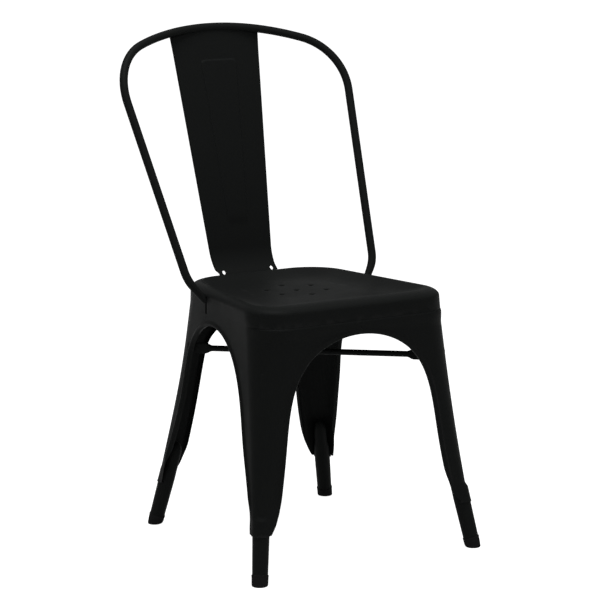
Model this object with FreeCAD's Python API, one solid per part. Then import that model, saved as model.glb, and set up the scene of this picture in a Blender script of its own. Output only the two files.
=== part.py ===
import FreeCAD, Part
import math
import os

from FreeCAD import Vector

# Stacking bistro side chair of pressed sheet steel, in millimetres.
# The front faces -Y and +Z is up. The origin is on the floor, midway between
# the front of the front glides and the back of the hoop.

# Sheet and gaps
sheet = 1.2
touch_gap = 0.15

# Seat: its rises are above the rim, its slopes are measured inward from the crest
seat_crest_rise = 11.5
seat_dish_rise = 1.0
seat_front_roll = 26.0
seat_side_roll = 15.0
seat_rear_roll = 14.0
seat_crest_flat = 2.5
dish_slope_one = 9.0
dish_slope_two = 28.0
dish_slope_three = 58.0
dish_drop_one = 3.0
dish_drop_two = 8.0
dish_corner_r = 26.0
drain_hole_r = 4.0
drain_ring_r = 49.8
drain_ring_holes = 6

# Rim of the apron: height, half width at the front corner and at the rear corner,
# reach from the seat's middle to the front and to the rear, corner radii
top_level = dict(z=420.0, front_half=177.0, rear_half=150.0,
                 front=196.0, rear=152.0, front_r=54.0, rear_r=80.0)

# The same at the foot of the straight skirt, as a change from the rim
skirt_change = dict(z=-20.0, front_half=0.5, rear_half=0.0,
                    front=1.5, rear=0.5, front_r=-1.0, rear_r=-1.0)

# Legs: how far the outline stands out, at a height, from a straight line between
# the skirt and the collar of the foot, and the corner radii there
haunch_bow = dict(z=283.0, front_half=-2.9, rear_half=-7.1,
                 front=-2.8, rear=-3.3, front_r=40.0, rear_r=50.0)
shin_bow = dict(z=146.0, front_half=-3.2, rear_half=-3.5,
               front=-5.1, rear=-4.1, front_r=23.0, rear_r=24.0)
ankle_bow = dict(z=101.0, front_half=-2.8, rear_half=0.4,
                front=-4.8, rear=-6.3, front_r=17.0, rear_r=17.0)
collar_z = 80.0
cuff_z = 68.0

# Foot tubes: place on the floor, as distances from the seat's middle, and lean
foot_r_floor = 12.4
foot_r_cuff = 13.5
foot_wall = 1.5
foot_top_z = 79.0
foot_bottom_z = 6.0
front_foot_x = 204.5
front_foot_reach = 220.8
front_foot_lean_x = 0.153
front_foot_lean_y = 0.195
rear_foot_x = 172.5
rear_foot_reach = 194.5
rear_foot_lean_x = 0.194
rear_foot_lean_y = 0.207

# Glides
glide_wall = 1.0
glide_height = 17.0
glide_round = 5.0

# Arch openings, up one side and then the crown: width of sheet that is left beside
# the opening and depth below the crown. Crowns are given as drops below the rim.
front_arch = [(21.9, 311.0), (37.4, 265.0), (42.6, 230.0), (48.3, 174.0),
              (55.5, 94.0), (62.4, 71.0), (84.5, 36.0), (119.9, 12.0)]
front_crown_drop = 43.0
rear_arch = [(24.7, 287.0), (40.2, 247.0), (48.1, 203.0), (56.9, 153.0),
             (61.0, 69.0), (71.7, 32.0), (98.5, 9.0)]
rear_crown_drop = 67.0
side_arch_front = [(8.4, 308.0), (24.6, 261.0), (41.7, 214.0), (58.7, 168.0),
                   (79.5, 91.0), (94.0, 59.0), (124.8, 23.0)]
side_arch_rear = [(111.0, 10.0), (76.8, 38.0), (62.1, 72.0), (55.3, 127.0),
                  (47.9, 173.0), (37.7, 221.0), (23.6, 261.0), (21.3, 308.0)]
side_crown_y = -15.0
side_crown_drop = 46.0
bead_width = 8.5
bead_height = 2.4
hem_depth = 6.5

# Side seam with its slot, and the straps behind the seams
seam_reach = 28.0
slot_width = 5.0
slot_drop = 29.0
strap_thickness = 2.0
strap_length = 46.0
strap_margin = 3.0

# Back hoop: the low bend is placed from the apron's rear corner and rim,
# the shoulder bend from the middle of the top rail
hoop_r = 7.0
hoop_wall = 1.5
hoop_top_reach = 270.9
hoop_top_z = 842.3
hoop_rail_half = 84.0
hoop_shoulder_x = 225.0
hoop_shoulder_forward = 62.3
hoop_shoulder_drop = 44.3
hoop_low_out = 30.8
hoop_low_reach = 45.5
hoop_low_rise = 27.0
hoop_bend_r = 62.0
hoop_end_out = 4.5
hoop_end_reach = 31.0
hoop_end_drop = 9.0

# Back splat: its top is placed from the top rail, its foot from the apron
splat_top_half = 86.0
splat_top_forward = 4.4
splat_top_drop = 6.3
splat_foot_half = 59.4
splat_foot_rise = 29.0
splat_kick = 26.5
splat_heel_half = 57.4
splat_lowest_half = 56.5
splat_bend_r = 70.0
splat_heel_r = 24.0
splat_hem_depth = 6.0
splat_relief_r = 3.0
splat_relief_x = 47.0
splat_relief_rise = 11.0
panel_top_half = 33.0
panel_top_drop = 57.3
panel_foot_half = 17.0
panel_foot_rise = 85.0
panel_height = 1.6
panel_slope = 3.0

# Cross braces: rods with flattened ends, lapped and riveted where they cross
brace_r = 5.0
brace_drop = 99.0
brace_front_x = 137.0
brace_front_reach = 150.0
brace_rear_x = 128.0
brace_rear_reach = 88.0
brace_overrun = 60.0
brace_tab_inside = 8.0
brace_tab_height = 18.0
brace_tab_thickness = 4.5
brace_lap_length = 34.0
brace_lap_width = 15.0
brace_lap_thickness = 4.0
rivet_r = 3.0
rivet_head_r = 5.5
rivet_head_height = 2.2

# The origin lies midway between the front of the front glides and the back of the hoop,
# so the seat's middle drain hole is this far from it
seat_y = (front_foot_reach + foot_r_floor + glide_wall - hoop_top_reach - hoop_r) / 2

# Heights that follow the rim
rim_z = top_level["z"]
seat_crest_z = rim_z + seat_crest_rise
front_crown_z = rim_z - front_crown_drop
rear_crown_z = rim_z - rear_crown_drop
side_crown_z = rim_z - side_crown_drop
splat_foot_z = rim_z + splat_foot_rise
splat_relief_z = rim_z + splat_relief_rise
skirt_level = {key: top_level[key] + change for key, change in skirt_change.items()}
outline_keys = ("front_half", "rear_half", "front", "rear")

# Reach of blocks that only have to be larger than the chair, and overshoot of cuts
far = 2 * hoop_top_z
cut_over = 1.0
arch_sill = 20.0


def mirrored(point):
    return Vector(-point.x, point.y, point.z)


def fillet_points(before, corner, after, radius):
    """Start, middle and end of the arc that rounds one corner."""
    back = (before - corner).normalize()
    ahead = (after - corner).normalize()
    half_turn = back.getAngle(ahead) / 2
    start = corner + back * (radius / math.tan(half_turn))
    end = corner + ahead * (radius / math.tan(half_turn))
    inward = (back + ahead).normalize()
    centre = corner + inward * (radius / math.sin(half_turn))
    return start, centre - inward * radius, end


def rounded_path(points, radii):
    """Open wire of straight runs with tangent arcs at its inner points."""
    edges = []
    last = points[0]
    for before, corner, after, radius in zip(points, points[1:], points[2:], radii):
        start, middle, end = fillet_points(before, corner, after, radius)
        edges.append(Part.makeLine(last, start))
        edges.append(Part.Arc(start, middle, end).toShape())
        last = end
    edges.append(Part.makeLine(last, points[-1]))
    return edges


def plan_wire(level, grow=0.0):
    """Outline at one height, grown outward by a distance: four corner arcs and their tangents."""
    z = level["z"]
    front_r = level["front_r"] + grow
    rear_r = level["rear_r"] + grow
    front_x = level["front_half"] - level["front_r"]
    rear_x = level["rear_half"] - level["rear_r"]
    front_y = seat_y - level["front"] + level["front_r"]
    rear_y = seat_y + level["rear"] - level["rear_r"]
    run = Vector(rear_x - front_x, rear_y - front_y, 0)
    lean = math.asin((front_r - rear_r) / run.Length) - math.atan2(run.x, run.y)
    front_turn = (math.pi / 2 + lean) / 2
    rear_turn = (math.pi / 2 - lean) / 2

    def on_front(angle):
        return Vector(front_x + front_r * math.sin(angle), front_y - front_r * math.cos(angle), z)

    def on_rear(angle):
        return Vector(rear_x + rear_r * math.sin(angle), rear_y + rear_r * math.cos(angle), z)

    arcs = [(on_front(0), on_front(front_turn), on_front(2 * front_turn)),
            (on_rear(2 * rear_turn), on_rear(rear_turn), on_rear(0))]
    for start, middle, end in reversed(list(arcs)):
        arcs.append((mirrored(end), mirrored(middle), mirrored(start)))
    edges = []
    last = arcs[-1][2]
    for start, middle, end in arcs:
        edges.append(Part.makeLine(last, start))
        edges.append(Part.Arc(start, middle, end).toShape())
        last = end
    return Part.Wire(edges)


def foot_point(x, reach, lean_x, lean_y, z):
    """Middle of a foot tube at a height, as a distance from the seat's middle."""
    return x - lean_x * z, reach - lean_y * z


def foot_radius(z):
    return foot_r_floor + (foot_r_cuff - foot_r_floor) * z / cuff_z


def wrap_level(z):
    """Outline that wraps the four foot tubes with one sheet at a height."""
    front_x, front_reach = foot_point(front_foot_x, front_foot_reach, front_foot_lean_x, front_foot_lean_y, z)
    rear_x, rear_reach = foot_point(rear_foot_x, rear_foot_reach, rear_foot_lean_x, rear_foot_lean_y, z)
    wrap = foot_radius(z) + touch_gap + sheet
    return dict(z=z, front_half=front_x + wrap, rear_half=rear_x + wrap,
                front=front_reach + wrap, rear=rear_reach + wrap, front_r=wrap, rear_r=wrap)


def leg_level(bow):
    """Outline of the legs at a height, from the skirt, the collar of the foot and a bow."""
    low = wrap_level(collar_z)
    share = (skirt_level["z"] - bow["z"]) / (skirt_level["z"] - collar_z)
    level = dict(bow)
    for key in outline_keys:
        level[key] += skirt_level[key] + (low[key] - skirt_level[key]) * share
    return level


flare_levels = [skirt_level] + [leg_level(bow) for bow in (haunch_bow, shin_bow, ankle_bow)]
cuff_levels = [flare_levels[-1], wrap_level(collar_z), wrap_level(cuff_z)]


def outline_size(key, z):
    """One measure of the outline at a height, between the two levels beside it."""
    levels = [top_level] + flare_levels + cuff_levels[1:]
    for upper, lower in zip(levels, levels[1:]):
        if z >= lower["z"]:
            share = (upper["z"] - z) / (upper["z"] - lower["z"])
            return upper[key] + (lower[key] - upper[key]) * share
    return levels[-1][key]


def loft(levels, grow, ruled):
    return Part.makeLoft([plan_wire(level, grow) for level in levels], True, ruled)


def skirt_solid(grow=0.0):
    """The closed flared body that the apron and the legs are cut from."""
    rim = loft([top_level, skirt_level], grow, True)
    flare = loft(flare_levels, grow, False)
    cuff = loft(cuff_levels, grow, True)
    return rim.fuse([flare, cuff]).removeSplitter()


def spline_through(points):
    curve = Part.BSplineCurve()
    curve.interpolate(points)
    return curve


def arch_prism(points, direction, grow):
    """Prism of an arch opening whose edge goes up one side, over the crown and down."""
    curve = spline_through(points)
    if grow:
        grown = []
        for point in points:
            along = Vector(*curve.tangent(curve.parameter(point))[0])
            grown.append(point + direction.cross(along).normalize() * grow)
        points = grown
        curve = spline_through(points)
    drop_first = Vector(points[0].x, points[0].y, -arch_sill)
    drop_last = Vector(points[-1].x, points[-1].y, -arch_sill)
    wire = Part.Wire([Part.makeLine(drop_first, points[0]), curve.toShape(),
                      Part.makeLine(points[-1], drop_last), Part.makeLine(drop_last, drop_first)])
    return Part.Face(wire).extrude(direction)


def arch_side(edge, key, crown_z):
    """Points of one side of an arch, as distances from the seat's middle and heights."""
    return [(outline_size(key, crown_z - drop) - width, crown_z - drop) for width, drop in edge]


def end_arch_prism(half, crown_z, way, grow):
    """Prism of a symmetric arch: way is -1 for the front and 1 for the rear."""
    points = [Vector(way * x, seat_y, z) for x, z in half]
    points.append(Vector(0, seat_y, crown_z))
    points += [Vector(-way * x, seat_y, z) for x, z in reversed(half)]
    return arch_prism(points, Vector(0, way * far, 0), grow)


def front_arch_prism(grow=0.0):
    return end_arch_prism(arch_side(front_arch, "front_half", front_crown_z), front_crown_z, -1, grow)


def rear_arch_prism(grow=0.0):
    return end_arch_prism(arch_side(rear_arch, "rear_half", rear_crown_z), rear_crown_z, 1, grow)


def side_arch_prism(grow=0.0):
    points = [Vector(-far, seat_y - y, z) for y, z in arch_side(side_arch_front, "front", side_crown_z)]
    points.append(Vector(-far, seat_y + side_crown_y, side_crown_z))
    points += [Vector(-far, seat_y + y, z) for y, z in arch_side(side_arch_rear, "rear", side_crown_z)]
    return arch_prism(points, Vector(2 * far, 0, 0), grow)


def box(low, high):
    size = high - low
    return Part.makeBox(size.x, size.y, size.z, low)


def segment(start, middle, end):
    if middle is None:
        return Part.makeLine(start, end)
    return Part.Arc(start, middle, end).toShape()


def hoop_path():
    """Bent centreline of the hoop, from its left end over the top to its right end."""
    def left(x, reach, z):
        return Vector(-x, seat_y + reach, z)

    rear_half = top_level["rear_half"]
    end = left(rear_half + hoop_end_out, hoop_end_reach, rim_z - hoop_end_drop)
    low = left(rear_half + hoop_low_out, hoop_low_reach, rim_z + hoop_low_rise)
    shoulder = left(hoop_shoulder_x, hoop_top_reach - hoop_shoulder_forward, hoop_top_z - hoop_shoulder_drop)
    knee = left(hoop_rail_half, hoop_top_reach, hoop_top_z)
    top = left(0.0, hoop_top_reach, hoop_top_z)
    rail_start = knee + (shoulder - knee).normalize() * hoop_rail_half
    run = (shoulder - rail_start).Length
    half_turn = (low - shoulder).getAngle(rail_start - shoulder) / 2
    shoulder_r = run * math.tan(half_turn)
    bend_start, bend_middle, bend_end = fillet_points(end, low, shoulder, hoop_bend_r)
    corner_start, corner_middle, corner_end = fillet_points(low, shoulder, rail_start, shoulder_r)
    half = [(end, None, bend_start), (bend_start, bend_middle, bend_end),
            (bend_end, None, corner_start), (corner_start, corner_middle, corner_end)]
    edges = [segment(*part) for part in half]
    edges.append(segment(corner_end, top, mirrored(corner_end)))
    for start, middle, finish in reversed(half):
        edges.append(segment(mirrored(finish), mirrored(middle) if middle else None, mirrored(start)))
    return Part.Wire(edges)


def tube_along(path, radius):
    start = path.Edges[0].valueAt(path.Edges[0].FirstParameter)
    heading = path.Edges[0].tangentAt(path.Edges[0].FirstParameter)
    ring = Part.Wire(Part.makeCircle(radius, start, heading))
    return path.makePipeShell([ring], True, False)


def make_hoop_rod():
    return tube_along(hoop_path(), hoop_r)


def make_back_hoop(rod):
    return rod.cut(tube_along(hoop_path(), hoop_r - hoop_wall))


def seat_level(base, z, front=0.0, side=0.0, rear=0.0):
    """Outline of the seat: it laps over the front of the apron and is flush behind."""
    lap = sheet + touch_gap
    return dict(z=z, front_half=base["front_half"] + lap - side, rear_half=base["rear_half"] - side,
                front=base["front"] + lap - front, rear=base["rear"] - rear,
                front_r=max(base["front_r"] + lap - side, dish_corner_r),
                rear_r=max(base["rear_r"] - side, dish_corner_r))


def roll_levels(under=0.0):
    """Quarter ellipse from the apron's top edge to the seat's crest."""
    levels = []
    for degrees in (0, 30, 60, 90):
        angle = math.radians(degrees)
        rise = (seat_crest_rise - under) * math.sin(angle)
        inward = 1 - math.cos(angle)
        levels.append(seat_level(top_level, rim_z + rise, seat_front_roll * inward,
                                 seat_side_roll * inward, seat_rear_roll * inward))
    return levels


def dish_solid(under=0.0):
    """The hollow of the seat, from the crest down to the dish."""
    slopes = [(0.0, 0.0), (dish_slope_one, dish_drop_one), (dish_slope_two, dish_drop_two),
              (dish_slope_three, seat_crest_rise - seat_dish_rise)]
    levels = []
    for slope, drop in slopes:
        inset = seat_crest_flat + slope - under
        levels.append(seat_level(top_level, seat_crest_z - drop - under, seat_front_roll + inset,
                                 seat_side_roll + inset, seat_rear_roll + inset))
    return loft(levels, 0.0, False)


def make_seat_pan(rod):
    skirt = [seat_level(skirt_level, skirt_level["z"]), seat_level(top_level, rim_z)]
    outer = loft(roll_levels(), 0.0, False).fuse(loft(skirt, 0.0, True))
    hollow = loft(roll_levels(sheet), -sheet, False).fuse(loft(skirt, -sheet, True))
    corner_y = seat_y - top_level["front"] + top_level["front_r"]
    behind = box(Vector(-far, corner_y, 0), Vector(far, far, rim_z))
    pan = outer.cut(behind).cut(hollow.cut(dish_solid(sheet))).cut(dish_solid())
    holes = [Vector(0, seat_y, 0)]
    for index in range(drain_ring_holes):
        angle = math.radians(90 + index * 360 / drain_ring_holes)
        holes.append(Vector(drain_ring_r * math.cos(angle), seat_y + drain_ring_r * math.sin(angle), 0))
    for middle in holes:
        pan = pan.cut(Part.makeCylinder(drain_hole_r, seat_crest_z, middle))
    return pan.cut(rod)


def apron_shell(rod):
    """Sheet body of the legs and aprons, open at the arches, slots and hoop ends."""
    arches = [front_arch_prism, rear_arch_prism, side_arch_prism]
    skirt = skirt_solid()
    proud = skirt_solid(bead_height)
    core = skirt_solid(-hem_depth)
    above_cuff = box(Vector(-far, -far, foot_top_z + touch_gap), Vector(far, far, far))
    shell = skirt
    for arch in arches:
        shell = shell.fuse(proud.common(arch(bead_width)))
    shell = shell.cut(skirt_solid(-sheet))
    for arch in arches:
        shell = shell.fuse(skirt.common(arch(sheet)).cut(core).common(above_cuff))
    for arch in arches:
        shell = shell.cut(arch())
    for side in (-1, 1):
        slot_y = seat_y + seam_reach
        low = Vector(min(0, side * far), slot_y - slot_width / 2, rim_z - slot_drop)
        high = Vector(max(0, side * far), slot_y + slot_width / 2, far)
        shell = shell.cut(box(low, high))
    return shell.cut(rod)


def quadrant(side, front):
    """Box that holds one leg: side is -1 for the left, front is True for the front."""
    seam_y = seat_y + seam_reach
    low = Vector(min(0, side * far), seam_y - far if front else seam_y, 0)
    return box(low, low + Vector(far, far, far))


def make_leg(shell, side, front):
    return shell.common(quadrant(side, front))


def foot_axis(side, front):
    """Floor point and heading of a foot tube."""
    if front:
        floor = Vector(side * front_foot_x, seat_y - front_foot_reach, 0)
        return floor, Vector(-side * front_foot_lean_x, front_foot_lean_y, 1)
    floor = Vector(side * rear_foot_x, seat_y + rear_foot_reach, 0)
    return floor, Vector(-side * rear_foot_lean_x, -rear_foot_lean_y, 1)


def tapered_rod(floor, heading, low_z, high_z, extra=0.0):
    """Cone along a foot's heading between two heights, squarely cut."""
    low = floor + heading * low_z
    high = floor + heading * high_z
    length = (high - low).Length
    return Part.makeCone(foot_radius(low_z) + extra, foot_radius(high_z) + extra, length, low, heading)


def make_foot(side, front):
    floor, heading = foot_axis(side, front)
    tube = tapered_rod(floor, heading, foot_bottom_z, foot_top_z)
    bore = tapered_rod(floor, heading, foot_bottom_z - cut_over, foot_top_z + cut_over, -foot_wall)
    return tube.cut(bore)


def make_glide(side, front):
    """Rubber cap on the end of a foot tube, cut flat where it meets the floor."""
    floor, heading = foot_axis(side, front)
    base_z = -glide_round
    cap = tapered_rod(floor, heading, base_z, glide_height, glide_wall)
    rims = [edge for edge in cap.Edges if edge.BoundBox.ZMax < glide_height / 2]
    cap = cap.makeFillet(glide_round, rims)
    pocket = tapered_rod(floor, heading, foot_bottom_z, glide_height + cut_over)
    below = box(Vector(-far, -far, -far), Vector(far, far, 0))
    return cap.cut(pocket).cut(below)


def rear_side(start, end):
    """Unit normal on the rear side of a run in the YZ plane."""
    run = (end - start).normalize()
    return Vector(0, -run.z, run.y)


def strip_face(points, radii, thickness):
    """Face of a bent strip in the YZ plane, on the rear side of its path."""
    normals = [rear_side(start, end) for start, end in zip(points, points[1:])]
    before = normals[:1] + normals
    after = normals + normals[-1:]
    offset = []
    for point, one, two in zip(points, before, after):
        middle = (one + two).normalize()
        offset.append(point + middle * (thickness / middle.dot(one)))
    offset_radii = []
    for radius, one, two in zip(radii, normals, normals[1:]):
        turn = one.cross(two).x
        offset_radii.append(radius + math.copysign(thickness, turn))
    edges = rounded_path(points, radii) + rounded_path(offset, offset_radii)
    edges += [Part.makeLine(points[0], offset[0]), Part.makeLine(points[-1], offset[-1])]
    return Part.Face(Part.Wire(Part.__sortEdges__(edges)))


def splat_face_y(z):
    """Place of the splat's sloping front face at a height."""
    foot_y = seat_y + skirt_level["rear"] + touch_gap + splat_kick
    top_y = seat_y + hoop_top_reach - splat_top_forward
    return foot_y + (top_y - foot_y) * (z - splat_foot_z) / (hoop_top_z - splat_top_drop - splat_foot_z)


def splat_path(low_z):
    """Front side of the splat in the YZ plane, from its foot flange up to its top.

    Between the flange and the bend it goes back as fast as it climbs.
    """
    flange_y = splat_face_y(splat_foot_z) - splat_kick
    top_z = hoop_top_z + hoop_r
    return [Vector(0, flange_y, low_z), Vector(0, flange_y, splat_foot_z - splat_kick),
            Vector(0, splat_face_y(splat_foot_z), splat_foot_z), Vector(0, splat_face_y(top_z), top_z)]


def splat_outline(inset=0.0):
    """Front view of the splat: straight tapered sides and a narrower foot."""
    slope = (splat_top_half - splat_foot_half) / (hoop_top_z - splat_top_drop - splat_foot_z)
    top_half = splat_top_half + slope * (splat_top_drop + hoop_r)
    right = [(splat_lowest_half, skirt_level["z"]), (splat_heel_half, splat_relief_z - splat_relief_r),
             (splat_foot_half, splat_foot_z), (top_half, hoop_top_z + hoop_r)]
    points = [Vector(x - inset, -far, z) for x, z in right]
    points += [Vector(-(x - inset), -far, z) for x, z in reversed(right)]
    return Part.Face(Part.makePolygon(points + points[:1])).extrude(Vector(0, 2 * far, 0))


def splat_strip(low_z, thickness):
    """Bent strip of the splat's outline, from a height up."""
    radii = [splat_heel_r, splat_bend_r]
    strip = strip_face(splat_path(low_z), radii, thickness).extrude(Vector(far, 0, 0))
    strip.translate(Vector(-far / 2, 0, 0))
    return strip.common(splat_outline())


def panel_ring(grow, depth):
    """Tapered four-sided ring in front of the splat's sloping face."""
    corners = [(panel_foot_half + grow, rim_z + panel_foot_rise - grow),
               (panel_top_half + grow, hoop_top_z - panel_top_drop + grow)]
    right = [Vector(x, splat_face_y(z) - depth, z) for x, z in corners]
    points = right + [mirrored(point) for point in reversed(right)]
    return Part.makePolygon(points + points[:1])


def panel_block(behind):
    """Block of the raised panel, or of the hollow behind it."""
    rings = [panel_ring(panel_slope, -behind), panel_ring(0.0, panel_height - behind)]
    return Part.makeLoft(rings, True, True)


def make_back_splat(rod):
    hem = splat_strip(splat_relief_z + splat_relief_r, splat_hem_depth).cut(splat_outline(sheet))
    body = splat_strip(skirt_level["z"], sheet).fuse(hem)
    body = body.fuse(panel_block(0.0)).cut(panel_block(sheet))
    for side in (-1, 1):
        start = Vector(side * splat_relief_x, seat_y, splat_relief_z)
        body = body.cut(Part.makeCylinder(splat_relief_r, far, start, Vector(0, 1, 0)))
    above = box(Vector(-far, 0, hoop_top_z), Vector(far, far, far))
    trimmed = body.cut(above).cut(rod)
    largest = max(trimmed.Solids, key=lambda solid: solid.Volume)
    return largest.removeSplitter()


def brace_line(side):
    """Ends and heading of the brace from the rear corner on one side to the front corner opposite."""
    rear = Vector(side * brace_rear_x, seat_y + brace_rear_reach, rim_z - brace_drop)
    front = Vector(-side * brace_front_x, seat_y - brace_front_reach, rim_z - brace_drop)
    return rear, front, (front - rear).normalize()


def oriented_box(middle, heading, length, width, height):
    """Box centred on a point, with its length along a level heading."""
    block = Part.makeBox(length, width, height, Vector(-length / 2, -width / 2, -height / 2))
    block.rotate(Vector(), Vector(0, 0, 1), math.degrees(math.atan2(heading.y, heading.x)))
    block.translate(middle)
    return block


def brace_middle():
    """Point where the two braces cross."""
    rear, front, heading = brace_line(-1)
    share = -rear.x / (front.x - rear.x)
    return rear + (front - rear) * share


def make_brace(side, upper, inner):
    """Rod that ends in two upright tabs on the inner faces of opposite legs."""
    rear, front, heading = brace_line(side)
    middle = brace_middle()
    overrun = heading * brace_overrun
    bar = Part.makeCylinder(brace_r, (front - rear).Length + 2 * brace_overrun, rear - overrun, heading)
    clear = 4 * brace_r
    bar = bar.cut(oriented_box(middle, heading, brace_lap_length, clear, clear))
    lap_z = brace_lap_thickness / 2 if upper else -brace_lap_thickness / 2
    lap = oriented_box(middle + Vector(0, 0, lap_z), heading, brace_lap_length, brace_lap_width,
                       brace_lap_thickness)
    bar = bar.fuse(lap)
    tab_length = brace_overrun + brace_tab_inside
    shift = heading * (brace_overrun - brace_tab_inside) / 2
    for tab in (rear - shift, front + shift):
        bar = bar.fuse(oriented_box(tab, heading, tab_length, brace_tab_thickness, brace_tab_height))
    hole = Part.makeCylinder(rivet_r, clear, middle - Vector(0, 0, clear / 2))
    return bar.common(inner).cut(hole)


def make_rivet():
    middle = brace_middle()
    grip = brace_lap_thickness
    rivet = Part.makeCylinder(rivet_r, 2 * grip, middle - Vector(0, 0, grip))
    for side in (-1, 1):
        start = middle + Vector(0, 0, side * grip)
        head = Part.makeCone(rivet_head_r, rivet_r, rivet_head_height, start, Vector(0, 0, side))
        rivet = rivet.fuse(head)
    return rivet


def strap_wall():
    """Layer on the inner face of the whole apron that the straps are cut from."""
    return skirt_solid(-sheet).cut(skirt_solid(-sheet - strap_thickness))


def end_strap(wall, way, low_z):
    """Strap across the seam at the front or rear: way is -1 for the front and 1 for the rear."""
    half = strap_length / 2
    high_z = rim_z - strap_margin
    return wall.common(box(Vector(-half, min(0, way * far), low_z), Vector(half, max(0, way * far), high_z)))


def side_strap(wall, side):
    """Strap across a side seam, under its slot."""
    middle = seat_y + seam_reach
    half = strap_length / 2
    low = Vector(min(0, side * far), middle - half, side_crown_z + strap_margin)
    high = Vector(max(0, side * far), middle + half, rim_z - slot_drop - strap_margin)
    return wall.common(box(low, high))


def main():
    os.makedirs("parts", exist_ok=True)
    rod = make_hoop_rod()
    nodes = {"back_hoop": make_back_hoop(rod),
             "back_splat": make_back_splat(rod),
             "seat_pan": make_seat_pan(rod)}
    shell = apron_shell(rod)
    for side_name, side in (("left", -1), ("right", 1)):
        for end_name, front in (("front", True), ("rear", False)):
            name = end_name + "_" + side_name
            nodes[name + "_leg"] = make_leg(shell, side, front)
            nodes[name + "_foot"] = make_foot(side, front)
            nodes[name + "_glide"] = make_glide(side, front)
    inner = skirt_solid(-sheet)
    nodes["cross_brace_upper"] = make_brace(-1, True, inner)
    nodes["cross_brace_lower"] = make_brace(1, False, inner)
    nodes["brace_rivet"] = make_rivet()
    wall = strap_wall()
    nodes["front_strap"] = end_strap(wall, -1, front_crown_z + strap_margin)
    nodes["rear_strap"] = end_strap(wall, 1, rear_crown_z + strap_margin)
    nodes["left_strap"] = side_strap(wall, -1)
    nodes["right_strap"] = side_strap(wall, 1)
    for name, shape in nodes.items():
        shape.exportStep("parts/" + name + ".step")
        print(name, "solids", len(shape.Solids), "valid", shape.isValid(), "volume", round(shape.Volume))


main()
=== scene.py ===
import bpy
import bmesh
import math
from mathutils import Matrix, Vector
from mathutils.geometry import delaunay_2d_cdt
from mathutils.kdtree import KDTree


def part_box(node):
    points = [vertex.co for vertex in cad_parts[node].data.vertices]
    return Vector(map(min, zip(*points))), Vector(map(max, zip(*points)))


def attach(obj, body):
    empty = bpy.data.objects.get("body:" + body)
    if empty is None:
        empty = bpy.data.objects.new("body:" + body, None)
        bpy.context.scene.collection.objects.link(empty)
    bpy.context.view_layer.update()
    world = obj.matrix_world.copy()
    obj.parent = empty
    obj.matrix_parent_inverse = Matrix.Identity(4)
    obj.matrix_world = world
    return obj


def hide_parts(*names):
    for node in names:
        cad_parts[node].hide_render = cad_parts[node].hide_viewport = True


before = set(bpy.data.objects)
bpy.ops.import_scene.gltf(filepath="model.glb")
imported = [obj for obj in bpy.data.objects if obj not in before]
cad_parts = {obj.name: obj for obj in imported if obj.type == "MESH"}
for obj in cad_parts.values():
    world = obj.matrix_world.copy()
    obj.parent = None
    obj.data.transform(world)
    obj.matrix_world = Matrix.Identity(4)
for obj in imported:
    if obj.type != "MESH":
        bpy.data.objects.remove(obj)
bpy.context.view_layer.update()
print("frame loaded:", len(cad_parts), "parts")

# Lengths below are millimetres, as on the drawings, until a mesh is made
mm = 0.001


def lowCorner(node):
    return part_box(node)[0] / mm


def highCorner(node):
    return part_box(node)[1] / mm


# Materials

powderCoat = {
    "colour": (0.0056, 0.0061, 0.0059, 1.0),
    # The rubbed colour lightens edges: partly wear, partly a painted highlight
    "rubbedAndHighlight": (0.016, 0.016, 0.016, 1.0),
    "roughness": 0.52,
    "roughnessSwing": 0.05,
    "specular": 0.017,
    "peelSize": 1.5,
    "peelDepth": 0.035,
    "wearAndHighlight": 0.5,
}

rubber = {
    # The rubbed colour lightens edges: partly wear, partly a painted highlight
    "colour": (0.0082, 0.0082, 0.0084, 1.0),
    "rubbedAndHighlight": (0.013, 0.0125, 0.012, 1.0),
    "roughness": 0.68,
    "roughnessSwing": 0.12,
    "specular": 0.012,
    "peelSize": 0.5,
    "peelDepth": 0.03,
    "wearAndHighlight": 0.3,
}


# Adds a node to a tree, with its settings, and fills inputs by name or number: a value is set and
# another node's output is linked
def addNode(tree, kind, inputs, **settings):
    node = tree.nodes.new(kind)
    for name, value in settings.items():
        setattr(node, name, value)
    for name, value in inputs.items():
        if isinstance(value, bpy.types.NodeSocket):
            tree.links.new(value, node.inputs[name])
        else:
            node.inputs[name].default_value = value
    return node


def makeRange(tree, source, low, high, toLow=0.0, toHigh=1.0):
    limits = {"From Min": low, "From Max": high, "To Min": toLow, "To Max": toHigh}
    return addNode(tree, "ShaderNodeMapRange", {"Value": source, **limits}).outputs["Result"]


def makeMath(tree, operation, first, second):
    return addNode(tree, "ShaderNodeMath", {0: first, 1: second}, operation=operation).outputs[0]


# Adds inputs or outputs to a node tree: their names, by kind
def addSockets(tree, way, kinds):
    for kind, names in kinds.items():
        for name in names:
            tree.interface.new_socket(name, in_out=way, socket_type="NodeSocket" + kind)


# Noises have a scale per metre and a detail; a mask has the values where it starts and is full
skinSizes = {
    "peelDetail": 1.5,
    "grit": (4200.0, 0.0),
    "cloud": (11.0, 3.0),
    "scuffAndSheen": (70.0, 4.0),
    "speckMask": (0.66, 0.74),
    "edgeMask": (0.52, 0.62),
    "patchMask": (0.42, 0.62),
    "cloudRange": (0.3, 0.7),
    "speckHeight": 0.5,
    "speckTint": 0.25,
    "wornPolish": 0.12,
}
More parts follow.
